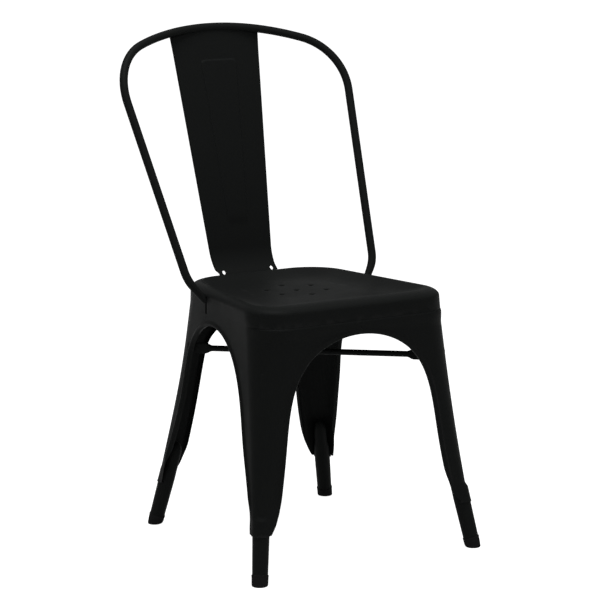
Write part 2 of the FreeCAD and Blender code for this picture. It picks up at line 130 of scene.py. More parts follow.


# Orange peel, fine dust specks, uneven gloss and rubbed edges of a sprayed or moulded skin; the lighter
# rubbed edges are partly wear and partly a painted highlight along edges and beads
def makeSkinGroup():
    sizes = skinSizes
    group = bpy.data.node_groups.new("sprayedSkin", "ShaderNodeTree")
    addSockets(group, "INPUT", {"Color": ["Colour", "Rubbed And Highlight"],
                                "Float": ["Roughness", "Roughness Swing", "Peel Scale", "Wear And Highlight"]})
    addSockets(group, "OUTPUT", {"Color": ["Colour"], "Float": ["Roughness", "Height"]})
    link = group.links.new
    given = group.nodes.new("NodeGroupInput").outputs
    out = group.nodes.new("NodeGroupOutput").inputs
    place = group.nodes.new("ShaderNodeTexCoord").outputs["Object"]
    pointed = group.nodes.new("ShaderNodeNewGeometry").outputs["Pointiness"]

    def noise(scale, detail):
        inputs = {"Vector": place, "Scale": scale, "Detail": detail}
        return addNode(group, "ShaderNodeTexNoise", inputs).outputs["Fac"]

    peel = noise(given["Peel Scale"], sizes["peelDetail"])
    grit, cloud, scuffAndSheen = [noise(*sizes[name]) for name in ("grit", "cloud", "scuffAndSheen")]
    speck = makeRange(group, grit, *sizes["speckMask"])
    raised = makeMath(group, "MULTIPLY", speck, sizes["speckHeight"])
    link(makeMath(group, "ADD", peel, raised), out["Height"])
    # Edges turn towards the rubbed colour in patches: partly rubbed wear, partly a painted highlight along
    # edges and beads
    edge = makeRange(group, pointed, *sizes["edgeMask"])
    patch = makeRange(group, scuffAndSheen, *sizes["patchMask"])
    wornAndLit = makeMath(group, "MULTIPLY", makeMath(group, "MULTIPLY", edge, patch), given["Wear And Highlight"])
    fleck = makeMath(group, "MULTIPLY", speck, sizes["speckTint"])
    mask = makeMath(group, "MAXIMUM", wornAndLit, fleck)
    colours = {0: mask, 6: given["Colour"], 7: given["Rubbed And Highlight"]}
    tint = addNode(group, "ShaderNodeMix", colours, data_type="RGBA")
    link(tint.outputs[2], out["Colour"])
    drift = makeRange(group, cloud, *sizes["cloudRange"], -1.0, 1.0)
    swing = makeMath(group, "MULTIPLY", drift, given["Roughness Swing"])
    gloss = makeMath(group, "ADD", given["Roughness"], swing)
    polish = makeMath(group, "MULTIPLY", wornAndLit, sizes["wornPolish"])
    link(makeMath(group, "SUBTRACT", gloss, polish), out["Roughness"])
    return group


skinGroup = makeSkinGroup()


def makeSkin(name, finish):
    material = bpy.data.materials.new(name)
    material.use_nodes = True
    tree = material.node_tree
    shader = tree.nodes["Principled BSDF"]
    skin = addNode(tree, "ShaderNodeGroup", {}, node_tree=skinGroup)
    inputs = {"Colour": finish["colour"], "Rubbed And Highlight": finish["rubbedAndHighlight"], "Roughness": finish["roughness"],
              "Roughness Swing": finish["roughnessSwing"], "Peel Scale": 1 / (finish["peelSize"] * mm),
              "Wear And Highlight": finish["wearAndHighlight"]}
    for socket, value in inputs.items():
        skin.inputs[socket].default_value = value
    height = skin.outputs["Height"]
    bump = addNode(tree, "ShaderNodeBump", {"Height": height, "Distance": finish["peelDepth"] * mm})
    shader.inputs["Specular IOR Level"].default_value = finish["specular"]
    tree.links.new(skin.outputs["Colour"], shader.inputs["Base Color"])
    tree.links.new(skin.outputs["Roughness"], shader.inputs["Roughness"])
    tree.links.new(bump.outputs["Normal"], shader.inputs["Normal"])
    return material


coat = makeSkin("powderCoat", powderCoat)
softBlack = makeSkin("mouldedRubber", rubber)
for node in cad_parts.values():
    node.data.materials.clear()
    node.data.materials.append(coat)
print("materials ready")


# Helpers for meshes

# Points this close become one, and edges shorter than the second length go
joinSizes = {"merge": 0.02, "shortest": 0.002}

# A lathed section starts and ends in a circle this small
tipRadius = 0.02

# Points that fill a sheet keep this share of a step from the points of its outline
fieldClear = 0.6


def makeObject(name, coords, faces, edges=()):
    mesh = bpy.data.meshes.new(name)
    mesh.from_pydata([Vector(point) * mm for point in coords], edges, faces)
    made = bpy.data.objects.new(name, mesh)
    bpy.context.scene.collection.objects.link(made)
    return made


# Merges what coincides and turns the faces to the side that a direction at each place gives
def joinSheet(sheet, outside):
    work = bmesh.new()
    work.from_mesh(sheet.data)
    bmesh.ops.remove_doubles(work, verts=work.verts, dist=joinSizes["merge"] * mm)
    bmesh.ops.dissolve_degenerate(work, edges=work.edges, dist=joinSizes["shortest"] * mm)
    bmesh.ops.recalc_face_normals(work, faces=work.faces)
    side = 0.0
    for face in work.faces:
        side += face.calc_area() * face.normal.dot(outside(face.calc_center_median() / mm))
    if side < 0:
        bmesh.ops.reverse_faces(work, faces=work.faces)
    work.to_mesh(sheet.data)
    work.free()


# Makes a piece's modifiers part of its mesh
def bakeModifiers(piece):
    depsgraph = bpy.context.evaluated_depsgraph_get()
    mesh = bpy.data.meshes.new_from_object(piece.evaluated_get(depsgraph), depsgraph=depsgraph)
    piece.modifiers.clear()
    piece.data = mesh


def thicken(piece, thickness):
    wall = piece.modifiers.new("wall", "SOLIDIFY")
    wall.thickness = thickness * mm
    wall.offset = -1.0
    wall.use_even_offset = True
    wall.thickness_clamp = 1.0
    bakeModifiers(piece)


def cutAway(piece, cutter):
    cut = piece.modifiers.new("cut", "BOOLEAN")
    cut.object = cutter
    cut.solver = "EXACT"
    bakeModifiers(piece)
    bpy.data.objects.remove(cutter)


# Smooth shading with sharp creases, then the piece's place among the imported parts
def finishPiece(piece, nodes=(), material=coat, crease=40):
    mesh = piece.data
    mesh.materials.clear()
    mesh.materials.append(material)
    work = bmesh.new()
    work.from_mesh(mesh)
    for face in work.faces:
        face.smooth = True
        face.material_index = 0
    for edge in work.edges:
        edge.smooth = len(edge.link_faces) == 2 and edge.calc_face_angle() < math.radians(crease)
    work.to_mesh(mesh)
    work.free()
    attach(piece, "root")
    if nodes:
        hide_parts(*nodes)


def smoothStep(value):
    value = min(max(value, 0.0), 1.0)
    return value * value * (3 - 2 * value)


def mirrorCopy(piece, name):
    mesh = piece.data.copy()
    mesh.name = name
    mesh.transform(Matrix.Scale(-1, 4, Vector((1, 0, 0))))
    mesh.flip_normals()
    copy = bpy.data.objects.new(name, mesh)
    bpy.context.scene.collection.objects.link(copy)
    return copy


# Natural cubic curve through values at rising knots
def cubicThrough(knots, values):
    last = len(knots) - 1
    steps = [after - before for before, after in zip(knots, knots[1:])]
    slopes = [(after - before) / step for before, after, step in zip(values, values[1:], steps)]
    pivots = []
    rights = []
    for inner in range(1, last):
        pivot = 2 * (steps[inner - 1] + steps[inner])
        right = 6 * (slopes[inner] - slopes[inner - 1])
        if pivots:
            share = steps[inner - 1] / pivots[-1]
            pivot -= share * steps[inner - 1]
            right -= share * rights[-1]
        pivots.append(pivot)
        rights.append(right)
    bends = [0.0] * (last + 1)
    for inner in range(last - 1, 0, -1):
        bends[inner] = (rights[inner - 1] - steps[inner] * bends[inner + 1]) / pivots[inner - 1]

    def at(place):
        first = 0
        while first < last - 1 and place > knots[first + 1]:
            first += 1
        step = steps[first]
        near = (knots[first + 1] - place) / step
        far = (place - knots[first]) / step
        return (near * values[first] + far * values[first + 1]
                + ((near ** 3 - near) * bends[first] + (far ** 3 - far) * bends[first + 1]) * step * step / 6)

    return at


# Smooth plane curve through points, as dense samples with even steps
def curveThrough(points, step):
    knots = [0.0]
    for before, after in zip(points, points[1:]):
        knots.append(knots[-1] + math.dist(before, after))
    across = cubicThrough(knots, [point[0] for point in points])
    upward = cubicThrough(knots, [point[1] for point in points])
    count = math.ceil(knots[-1] / step)
    return [(across(knots[-1] * i / count), upward(knots[-1] * i / count)) for i in range(count + 1)]


# Evenly spaced samples between two values, the last one left out
def evenSteps(start, end, step):
    count = max(1, math.ceil(abs(end - start) / step))
    return [start + (end - start) * i / count for i in range(count)]


# Faces between rows of points, numbered from start; a row or the set of rows can run round
def gridFaces(rows, width, start=0, roundRow=False, roundSet=False):
    faces = []
    for row in range(rows if roundSet else rows - 1):
        first = start + row * width
        second = start + (row + 1) % rows * width
        for i in range(width if roundRow else width - 1):
            after = (i + 1) % width
            faces.append((first + i, first + after, second + after, second + i))
    return faces


def mirrored(points):
    return [Vector((-point.x, point.y, point.z)) for point in points]


# Edges that join points in order and close the loop
def loopEdges(count, start=0):
    return [(start + i, start + (i + 1) % count) for i in range(count)]


def turnsRound(count):
    return [2 * math.pi * i / count for i in range(count)]


# Angles of a quarter turn, with both ends
def quarterTurn(count):
    return [math.pi / 2 * i / count for i in range(count + 1)]


# Vector in the plane from its angle and its length
def spokeAt(angle, length):
    return Vector((math.cos(angle), math.sin(angle))) * length


# Finds the nearest of many points in the plane
def flatTree(points):
    tree = KDTree(len(points))
    for index, point in enumerate(points):
        tree.insert((point[0], point[1], 0), index)
    tree.balance()
    return tree


# Triangles over points in a plane, inside the edges given between some of them
def fillPlane(points, border):
    places, edges, triangles = delaunay_2d_cdt(points, border, [], 1, 1e-5)[:3]
    return places, triangles


# Round sections about a straight axis: each row of the profile is a height along it and a radius.
# Sections turn level towards the floor where a height is given for that.
def latheMesh(floorPoint, heading, profile, segments, levelBelow=0.0):
    axis = heading.normalized()
    side = axis.orthogonal().normalized()
    front = axis.cross(side)
    coords = []
    for height, radius in profile:
        middle = floorPoint + heading * height
        for angle in turnsRound(segments):
            spoke = (side * math.cos(angle) + front * math.sin(angle)) * radius
            if levelBelow:
                spoke.z *= smoothStep(height / levelBelow)
            coords.append(middle + spoke)
    return coords, gridFaces(len(profile), segments, 0, True, True)


# Sizes of the back hoop, which also place the seat's middle. Places are a distance from the middle, a
# reach and a height; turns between rows are radians.
backHoop = {
    "radius": 7.0,
    "topReach": 270.9,
    "topZ": 842.3,
    "railHalf": 84.0,
    "shoulder": (225.0, 208.6, 798.0),
    "low": (180.8, 45.5, 447.0),
    "end": (154.5, 31.0, 411.0),
    "lowBend": 62.0,
    "tailRadius": 5.6,
    "tailLength": 46.0,
    "pathStep": 5.0,
    "lowTurn": 0.06,
    "topTurn": 0.05,
    "sides": 40,
}

seatY = highCorner("back_hoop").y - backHoop["topReach"] - backHoop["radius"]

# Reaches are measured from the seat's middle towards either end
endWays = {"front": -1, "rear": 1}


# The flared shell that the apron and the legs are cut from

# A level of the shell: half width, reach and corner radius at the front, then the same at the rear
shell = {
    "rimZ": highCorner("front_left_leg").z,
    "skirtZ": lowCorner("seat_pan").z,
    "cuffZ": lowCorner("front_left_leg").z,
    "collarZ": 80.0,
    "rim": (177.0, 196.0, 54.0, 150.0, 152.0, 80.0),
    "skirt": (177.5, 197.5, 53.0, 150.0, 152.5, 79.0),
    "haunchZ": 283.0,
    "haunch": (185.5, 203.0, 40.0, 151.0, 164.0, 50.0),
    "shinZ": 146.0,
    "shin": (198.0, 210.5, 23.0, 164.0, 180.5, 24.0),
    "ankleZ": 101.0,
    "ankle": (202.5, 214.0, 17.0, 171.0, 184.0, 17.0),
    "sheet": 1.2,
    "gap": 0.15,
}

# Foot tubes: place on the floor from the seat's middle, lean, and radius at the floor and at cuffZ.
# The plug is the pinched top inside the leg, in heights and radii; the shift sets it over.
footTube = {
    "front": {"x": 204.5, "reach": 220.8, "leanX": 0.153, "leanReach": 0.195},
    "rear": {"x": 172.5, "reach": 194.5, "leanX": 0.194, "leanReach": 0.207},
    "floorRadius": 12.4,
    "cuffRadius": 13.5,
    "wall": 1.5,
    "bottomZ": 6.0,
    "rows": (20.0, 40.0, 60.0),
    "plug": [(84.0, 13.7), (94.0, 13.5), (100.0, 12.6), (104.0, 11.6), (109.0, 10.9), (120.0, 10.9),
             (130.0, 10.6), (138.0, 9.0), (143.0, 6.0), (145.5, 3.0), (146.0, tipRadius)],
    "shiftFrom": 92.0,
    "shiftRun": 12.0,
    "shift": 2.4,
    "segments": 48,
}


def footRadius(z):
    return footTube["floorRadius"] + (footTube["cuffRadius"] - footTube["floorRadius"]) * z / shell["cuffZ"]


def wrapLevel(z):
    wrap = footRadius(z) + shell["gap"] + shell["sheet"]
    level = []
    for end in ("front", "rear"):
        tube = footTube[end]
        level += [tube["x"] - tube["leanX"] * z + wrap, tube["reach"] - tube["leanReach"] * z + wrap, wrap]
    return tuple(level)


flareKnots = [shell["ankleZ"], shell["shinZ"], shell["haunchZ"], shell["skirtZ"]]
flareRows = [shell["ankle"], shell["shin"], shell["haunch"], shell["skirt"]]
flareCurves = [cubicThrough(flareKnots, column) for column in zip(*flareRows)]


def mixLevels(low, high, share):
    return tuple(a + (b - a) * share for a, b in zip(low, high))


def levelAt(z):
    if z >= shell["skirtZ"]:
        share = (z - shell["skirtZ"]) / (shell["rimZ"] - shell["skirtZ"])
        return mixLevels(shell["skirt"], shell["rim"], share)
    if z >= shell["ankleZ"]:
        return tuple(curve(z) for curve in flareCurves)
    if z >= shell["collarZ"]:
        share = (z - shell["collarZ"]) / (shell["ankleZ"] - shell["collarZ"])
        return mixLevels(wrapLevel(shell["collarZ"]), shell["ankle"], share)
    return wrapLevel(z)


# Corner of an outline seen from one end: middle of its arc, radius and turn
def cornerShape(level, end):
    here, there = (level[:3], level[3:]) if end == "front" else (level[3:], level[:3])
    half, reach, radius = here
    middleX = half - radius
    middleReach = reach - radius
    runX = there[0] - there[2] - middleX
    runReach = there[1] - there[2] + middleReach
    narrowing = math.asin((radius - there[2]) / math.hypot(runX, runReach))
    sweep = math.pi / 2 + narrowing - math.atan2(runX, runReach)
    return middleX, middleReach, radius, sweep


# Point of an outline at a distance round it from the middle of one end, moved outward
def outlinePoint(level, end, station, outward=0.0):
    middleX, middleReach, radius, sweep = cornerShape(level, end)
    angle = 0.0
    x = station
    reach = middleReach + radius
    if station > middleX:
        angle = min((station - middleX) / radius, sweep)
        rest = station - middleX - radius * angle
        x = middleX + radius * math.sin(angle) + rest * math.cos(angle)
        reach = middleReach + radius * math.cos(angle) - rest * math.sin(angle)
    x += outward * math.sin(angle)
    reach += outward * math.cos(angle)
    return x, reach


# Station of a place on the shell, from its distance from the middle or from its reach
def stationAtX(end, x, z):
    middleX, middleReach, radius, sweep = cornerShape(levelAt(z), end)
    if x <= middleX:
        return x
    return middleX + radius * math.asin((x - middleX) / radius)


def stationAtReach(end, reach, z):
    middleX, middleReach, radius, sweep = cornerShape(levelAt(z), end)
    arcEnd = middleReach + radius * math.cos(sweep)
    if reach > arcEnd:
        return middleX + radius * math.acos((reach - middleReach) / radius)
    return middleX + radius * sweep + (arcEnd - reach) / math.sin(sweep)


def placeInRow(x, reach, z, end):
    return Vector((x, seatY + endWays[end] * reach, z))


# Legs

# The sheet's lower end is lowZ. Arches are points of their curves, the end ones as half widths and
# heights, the side ones as distances behind the seat's middle and heights.
legSizes = {
    "lowZ": 78.0,
    "frontArch": [(190, 66), (181, 79), (171, 92), (162, 112), (153.8, 147), (144.5, 203), (130, 283),
                  (121.5, 306), (97, 341), (60, 365)],
    "frontCrown": 377.0,
    "rearArch": [(155, 66), (144, 79), (134, 92), (124.5, 108), (111.5, 150), (102, 200), (90, 284),
                 (79, 321), (52, 344)],
    "rearCrown": 353.0,
    "sideArchFront": [(-205, 66), (-194, 80), (-188, 98), (-183, 115), (-167, 160), (-148.5, 206),
                      (-123.5, 283), (-107.5, 315), (-75, 351)],
    "sideCrown": (-15.0, 374.0),
    "sideArchRear": [(45, 364), (82, 336), (100, 302), (113, 247), (126, 201), (142, 153), (156.5, 115),
                     (161, 98), (166, 80), (174, 66)],
    "seamReach": 28.0,
    "seamGap": 0.2,
    "slotWidth": 7.0,
    "slotDrop": 29.0,
    "edgeStep": 3.6,
    "fieldStep": 3.6,
    "ankleStep": 2.6,
    "hemFade": (110.0, 140.0),
    "hemPitch": 0.1,
    "beadFade": (100.0, 135.0),
    "edgeClear": 1.0,
    "rimClear": 2.0,
    "leastGrip": 0.5,
    "turnAtSeam": 24.0,
    "turnAtLow": 12.0,
    "ledge": [(0.0, 0.0), (0.15, 1.1), (1.0, 2.1), (1.9, 2.8), (2.9, 3.15), (4.2, 3.2)],
    "ledgeClear": 1.6,
    "ledgeFade": 25.0,
    "ledgeReach": (150.0, 190.0),
    "kneeZ": 109.0,
    "kneeOver": 2.0,
    "kneeRun": 9.0,
    "kneeBlend": 0.6,
    "kneeStep": 1.5,
}

# Section of the rolled edge: distance in from the opening and height above the sheet
beadSection = [(1.0, -6.2), (0.45, -4.6), (0.1, -3.1), (0.0, -1.7), (0.1, -0.4), (0.5, 0.85), (1.2, 1.8),
               (2.2, 2.45), (3.4, 2.7), (4.6, 2.5), (5.8, 1.9), (7.0, 1.05), (8.2, 0.4), (9.4, 0.08),
               (10.6, 0.0)]


def fadeBetween(z, limits):
    return smoothStep((z - limits[0]) / (limits[1] - limits[0]))


# The apron swells out into a narrow ledge under the seat's skirt; its rows are depths below the skirt
def ledgeHeight(end, station, z):
    sizes = legSizes
    depth = shell["skirtZ"] - z
    if end == "rear" or depth < 0 or depth > sizes["ledgeFade"]:
        return 0.0
    lastDepth, lastRise = sizes["ledge"][-1]
    rise = lastRise * smoothStep((sizes["ledgeFade"] - depth) / (sizes["ledgeFade"] - lastDepth))
    for (d1, rise1), (d2, rise2) in zip(sizes["ledge"], sizes["ledge"][1:]):
        if d1 <= depth <= d2:
            rise = rise1 + (rise2 - rise1) * (depth - d1) / (d2 - d1)
    reach = outlinePoint(levelAt(z), end, station)[1]
    return rise * fadeBetween(reach, sizes["ledgeReach"])


def ledgeRows():
    return [shell["skirtZ"] - depth for depth, rise in legSizes["ledge"]]


# Below the knee the sheet is pressed round the foot tube, which stands proud of the leg's corner
def wrapTube(x, reach, z, end):
    tube = footTube[end]
    awayX = x - tube["x"] + tube["leanX"] * z
    awayReach = reach - tube["reach"] + tube["leanReach"] * z
    away = math.hypot(awayX, awayReach)
    short = footRadius(z) + shell["gap"] + shell["sheet"] - away
    push = (short + math.hypot(short, legSizes["kneeBlend"])) / 2
    push *= smoothStep((legSizes["kneeZ"] - z) / legSizes["kneeRun"])
    return x + awayX / away * push, reach + awayReach / away * push


def legPoint(end, station, z, outward):
    x, reach = outlinePoint(levelAt(z), end, station, outward + ledgeHeight(end, station, z))
    if z < legSizes["kneeZ"]:
        x, reach = wrapTube(x, reach, z, end)
    return placeInRow(x, reach, z, end)


# Station of the seam with the other leg on the same side
def sideSeam(end, z):
    return stationAtReach(end, legSizes["seamReach"] * endWays[end], z) - legSizes["seamGap"] / 2


# The last point of an edge, where it runs out at the sheet's lower end
def lowCrossing(edge):
    (s1, z1), (s2, z2) = edge[-2:]
    return s2 + (s2 - s1) / (z2 - z1) * (legSizes["lowZ"] - z2), legSizes["lowZ"]


# One side of an end arch, from the crown at the seam down
def endArchEdge(end):
    side = legSizes[end + "Arch"]
    crown = legSizes[end + "Crown"]
    points = [(-x, z) for x, z in side] + [(0, crown)] + side[::-1]
    clear = legSizes["edgeClear"]
    lowest = legSizes["lowZ"] + clear
    half = [(x, z) for x, z in curveThrough(points, legSizes["edgeStep"]) if x > clear and z > lowest]
    edge = [(legSizes["seamGap"] / 2, crown)] + [(stationAtX(end, x, z), z) for x, z in half]
    return edge + [lowCrossing(edge)]


# Side arch of one leg, from the seam down
def sideArchEdge(end):
    points = legSizes["sideArchFront"] + [legSizes["sideCrown"]] + legSizes["sideArchRear"]
    seam = legSizes["seamReach"]
    way = endWays[end]
    clear = legSizes["edgeClear"]
    lowest = legSizes["lowZ"] + clear
    curve = curveThrough(points, legSizes["edgeStep"])[::way]
    half = [(y * way, z) for y, z in curve if (y - seam) * way > clear and z > lowest]
    seamZ = min(curve, key=lambda point: abs(point[0] - seam))[1]
    edge = [(sideSeam(end, seamZ), seamZ)] + [(stationAtReach(end, reach, z), z) for reach, z in half]
    return edge + [lowCrossing(edge)]


# Rows of the rolled edge; turn is 1 where the sheet lies left of the edge as it runs down, else -1
def edgeBand(edge, turn, seamAt):
    sizes = legSizes
    lengths = [0.0]
    for before, after in zip(edge, edge[1:]):
        lengths.append(lengths[-1] + math.dist(before, after))
    last = len(edge) - 1
    band = []
    for index, (station, z) in enumerate(edge):
        before = Vector(edge[max(index - 1, 0)])
        along = (Vector(edge[min(index + 1, last)]) - before).normalized()
        inward = Vector((-along.y, along.x)) * turn
        nearSeam = 1 - smoothStep(lengths[index] / sizes["turnAtSeam"])
        nearLow = 1 - smoothStep((lengths[-1] - lengths[index]) / sizes["turnAtLow"])
        heading = inward * (1 - nearSeam - nearLow) + Vector((turn * nearLow, nearSeam))
        heading.normalize()
        stretch = 1 / max(heading.dot(inward), sizes["leastGrip"])
        hem = fadeBetween(z, sizes["hemFade"])
        bead = fadeBetween(z, sizes["beadFade"])
        row = []
        for step, (distance, outward) in enumerate(beadSection):
            if outward < 0:
                distance = distance * hem + sizes["hemPitch"] * step * (1 - hem)
            place = Vector((station, z)) + heading * (distance * stretch)
            if index == 0:
                place.x = seamAt(place.y)
            if index == last:
                place.y = sizes["lowZ"]
            row.append((place.x, place.y, outward * (hem if outward < 0 else bead)))
        band.append(row)
    return band


# The ledge's own rows take the place of the even ones near them
def withLedge(end, heights):
    if end == "rear":
        return heights
    rows = ledgeRows()
    clear = legSizes["ledgeClear"]
    return [z for z in heights if not rows[-1] - clear < z < rows[0] + clear] + rows


# Heights of the inner rows of points, closer at the ankle and the knee, and on the ledge's own rows
def fieldHeights(end):
    heights = []
    z = legSizes["lowZ"]
    while z < shell["rimZ"] - legSizes["rimClear"]:
        step = legSizes["ankleStep"] if z < shell["shinZ"] else legSizes["fieldStep"]
        if z < legSizes["kneeZ"] + legSizes["kneeOver"]:
            step = legSizes["kneeStep"]
        z += step
        heights.append(z)
    return sorted(withLedge(end, heights))


# Points inside a closed outline, row by row, clear of the outline's own points
def fillPoints(outline, end):
    tree = flatTree(outline)
    inner = []
    for row, z in enumerate(fieldHeights(end)):
        step = legSizes["ankleStep"] if z < shell["shinZ"] else legSizes["fieldStep"]
        shift = 0 if z in ledgeRows() else row % 2 / 2
        crossings = []
        for (s1, z1), (s2, z2) in zip(outline, outline[1:] + outline[:1]):
            if (z1 > z) != (z2 > z):
                crossings.append(s1 + (s2 - s1) * (z - z1) / (z2 - z1))
        crossings.sort()
        for start, finish in zip(crossings[::2], crossings[1::2]):
            station = (math.floor(start / step) + shift) * step
            while station < finish:
                if station > start and tree.find((station, z, 0))[2] > fieldClear * step:
                    inner.append((station, z))
                station += step
    return inner


# Closed outline of a leg's sheet inside its two rolled edges, with half of the slot for the hoop
def legOutline(end, endRow, sideRow):
    sizes = legSizes
    step = sizes["fieldStep"]
    rimZ = shell["rimZ"]
    slotZ = rimZ - sizes["slotDrop"]
    slotHalf = sizes["slotWidth"] / 2
    middle = sizes["seamGap"] / 2
    outline = list(endRow[:-1])
    outline += [(s, sizes["lowZ"]) for s in evenSteps(endRow[-1][0], sideRow[-1][0], sizes["ankleStep"])]
    outline += sideRow[::-1][:-1]
    outline += [(sideSeam(end, z), z) for z in evenSteps(sideRow[0][1], slotZ, step)]
    outline += [(sideSeam(end, slotZ), slotZ)]
    outline += [(sideSeam(end, z) - slotHalf, z) for z in evenSteps(slotZ, rimZ, step)]
    outline += [(s, rimZ) for s in evenSteps(sideSeam(end, rimZ) - slotHalf, middle, step)]
    seamRows = withLedge(end, evenSteps(rimZ, endRow[0][1], step))
    return outline + [(middle, z) for z in sorted(seamRows, reverse=True)]


def makeRightLeg(end, name):
    bands = [edgeBand(endArchEdge(end), 1, lambda z: legSizes["seamGap"] / 2),
             edgeBand(sideArchEdge(end), -1, lambda z: sideSeam(end, z))]
    coords = []
    faces = []
    for band in bands:
        faces += gridFaces(len(band), len(beadSection), len(coords))
        coords += [legPoint(end, *point) for row in band for point in row]
    outline = legOutline(end, *[[row[-1][:2] for row in band] for band in bands])
    plane = [Vector(point) for point in outline + fillPoints(outline, end)]
    places, triangles = fillPlane(plane, loopEdges(len(outline)))
    faces += [[len(coords) + index for index in triangle] for triangle in triangles]
    coords += [legPoint(end, place.x, place.y, 0.0) for place in places]
    leg = makeObject(name, coords, faces)
    joinSheet(leg, lambda point: Vector((point.x, point.y - seatY, 0)))
    thicken(leg, shell["sheet"])
    return leg


for end in ("front", "rear"):
    rightLeg = makeRightLeg(end, end + "RightLeg")
    leftLeg = mirrorCopy(rightLeg, end + "LeftLeg")
    finishPiece(rightLeg, [end + "_right_leg"])
    finishPiece(leftLeg, [end + "_left_leg"])
print("legs ready")


# Seat pan

# The dish is given by drops at slope distances in from its crest; rows lie closer near the crest
seatSizes = {
    "frontRoll": 26.0,
    "sideRoll": 15.0,
    "rearRoll": 14.0,
    "rollSteps": 12,
    "crestFlat": 2.5,
    "crestZ": highCorner("seat_pan").z,
    "dishSlopes": (0.0, 9.0, 28.0, 58.0),
    "dishDrops": (0.0, 3.0, 8.0, 10.5),
    "crestRows": [-1.6, -0.8],
    "closeEnd": 12.0,
    "closeStep": 1.5,
    "dishStep": 3.3,
    "cornerRadius": 26.0,
    "belly": 0.8,
    "bellyReach": 100.0,
    "holeRadius": 4.0,
    "holeRing": 49.8,
    "holeCount": 6,
    "holeLip": 1.1,
    "holeLipWidth": 4.5,
    "holeRows": (0.0, 0.7, 1.6, 2.8, 4.4),
    "holeSides": 28,
    "holeClear": 6.5,
    "holeShare": 0.97,
    "sideSteps": 56,
    "arcSteps": 22,
    "endSteps": 34,
    "fieldStep": 4.2,
    "rowShare": 0.87,
}


def seatLevel(base, frontInset, sideInset, rearInset):
    lap = shell["sheet"] + shell["gap"]
    smallest = seatSizes["cornerRadius"]
    return (base[0] + lap - sideInset, base[1] + lap - frontInset, max(base[2] + lap - sideInset, smallest),
            base[3] - sideInset, base[4] - rearInset, max(base[5] - sideInset, smallest))


# Right half of an outline from the front middle to the rear middle, with the same count at every size
def halfRing(level, z):
    frontX, frontReach, frontRadius, frontSweep = cornerShape(level, "front")
    rearX, rearReach, rearRadius, rearSweep = cornerShape(level, "rear")
    frontArc = frontRadius * frontSweep
    rearArc = rearRadius * rearSweep
    arcs = seatSizes["arcSteps"]
    ends = seatSizes["endSteps"]
    sides = seatSizes["sideSteps"]

    def at(end, station):
        return placeInRow(*outlinePoint(level, end, station), z, end)

    points = [at("front", frontX * i / ends) for i in range(ends)]
    points += [at("front", frontX + frontArc * i / arcs) for i in range(arcs)]
    start = at("front", frontX + frontArc)
    finish = at("rear", rearX + rearArc)
    points += [start.lerp(finish, i / sides) for i in range(sides)]
    points += [at("rear", rearX + rearArc - rearArc * i / arcs) for i in range(arcs)]
    return points + [at("rear", rearX * (1 - i / ends)) for i in range(ends + 1)]


def holePlaces():
    middle = Vector((0.0, seatY))
    count = seatSizes["holeCount"]
    turns = [math.pi / 2 + 2 * math.pi * i / count for i in range(count)]
    return [middle] + [middle + spokeAt(turn, seatSizes["holeRing"]) for turn in turns]


dishCurve = cubicThrough(seatSizes["dishSlopes"], seatSizes["dishDrops"])
holes = holePlaces()


# Height of the dish's flat: a slight belly, drawn down at each drain hole
def dishHeight(point, floorZ):
    sizes = seatSizes
    reach = (point - holes[0]).length
    z = floorZ - sizes["belly"] * (1 - smoothStep(reach / sizes["bellyReach"]))
    for hole in holes:
        away = (point - hole).length - sizes["holeRadius"]
        z -= sizes["holeLip"] * max(0.0, 1 - away / sizes["holeLipWidth"]) ** 2
    return z


# Outlines of the pan as levels and heights: the skirt, the roll, and down the dish to its flat
def seatRows():
    sizes = seatSizes
    rolls = (sizes["frontRoll"], sizes["sideRoll"], sizes["rearRoll"])
    between = mixLevels(shell["skirt"], shell["rim"], 0.5)
    rows = [(seatLevel(shell["skirt"], 0, 0, 0), shell["skirtZ"]),
            (seatLevel(between, 0, 0, 0), (shell["skirtZ"] + shell["rimZ"]) / 2)]
    for angle in quarterTurn(sizes["rollSteps"]):
        inward = 1 - math.cos(angle)
        z = shell["rimZ"] + (sizes["crestZ"] - shell["rimZ"]) * math.sin(angle)
        rows.append((seatLevel(shell["rim"], *[roll * inward for roll in rolls]), z))
    deepest = sizes["dishSlopes"][-1]
    slopes = sizes["crestRows"] + evenSteps(0.0, sizes["closeEnd"], sizes["closeStep"])
    slopes += evenSteps(sizes["closeEnd"], deepest, sizes["dishStep"]) + [deepest]
    for slope in slopes:
        inset = sizes["crestFlat"] + slope
        drop = dishCurve(slope) if slope > 0 else 0.0
        rows.append((seatLevel(shell["rim"], *[roll + inset for roll in rolls]), sizes["crestZ"] - drop))
    return rows


def makeSeatPan():
    halves = [halfRing(*row) for row in seatRows()]
    rings = [half + mirrored(half[-2:0:-1]) for half in halves]
    count = len(rings[0])
    skirtEnd = seatSizes["endSteps"] + seatSizes["arcSteps"]

    # The lowest two rows of faces are the skirt, which is at the front and its corners only
    def isKept(face):
        fromMiddle = max(min(index % count, count - index % count) for index in face[:2])
        return face[0] >= 2 * count or fromMiddle <= skirtEnd

    coords = [point for ring in rings for point in ring]
    faces = [face for face in gridFaces(len(rings), count, 0, True) if isKept(face)]
    faces += fillDish(rings[-1], coords)
    pan = makeObject("seatPan", coords, faces)
    joinSheet(pan, lambda point: Vector((0, 0, 1)))
    thicken(pan, shell["sheet"])
    return pan


def holeDistance(point):
    return min((point - hole).length for hole in holes)


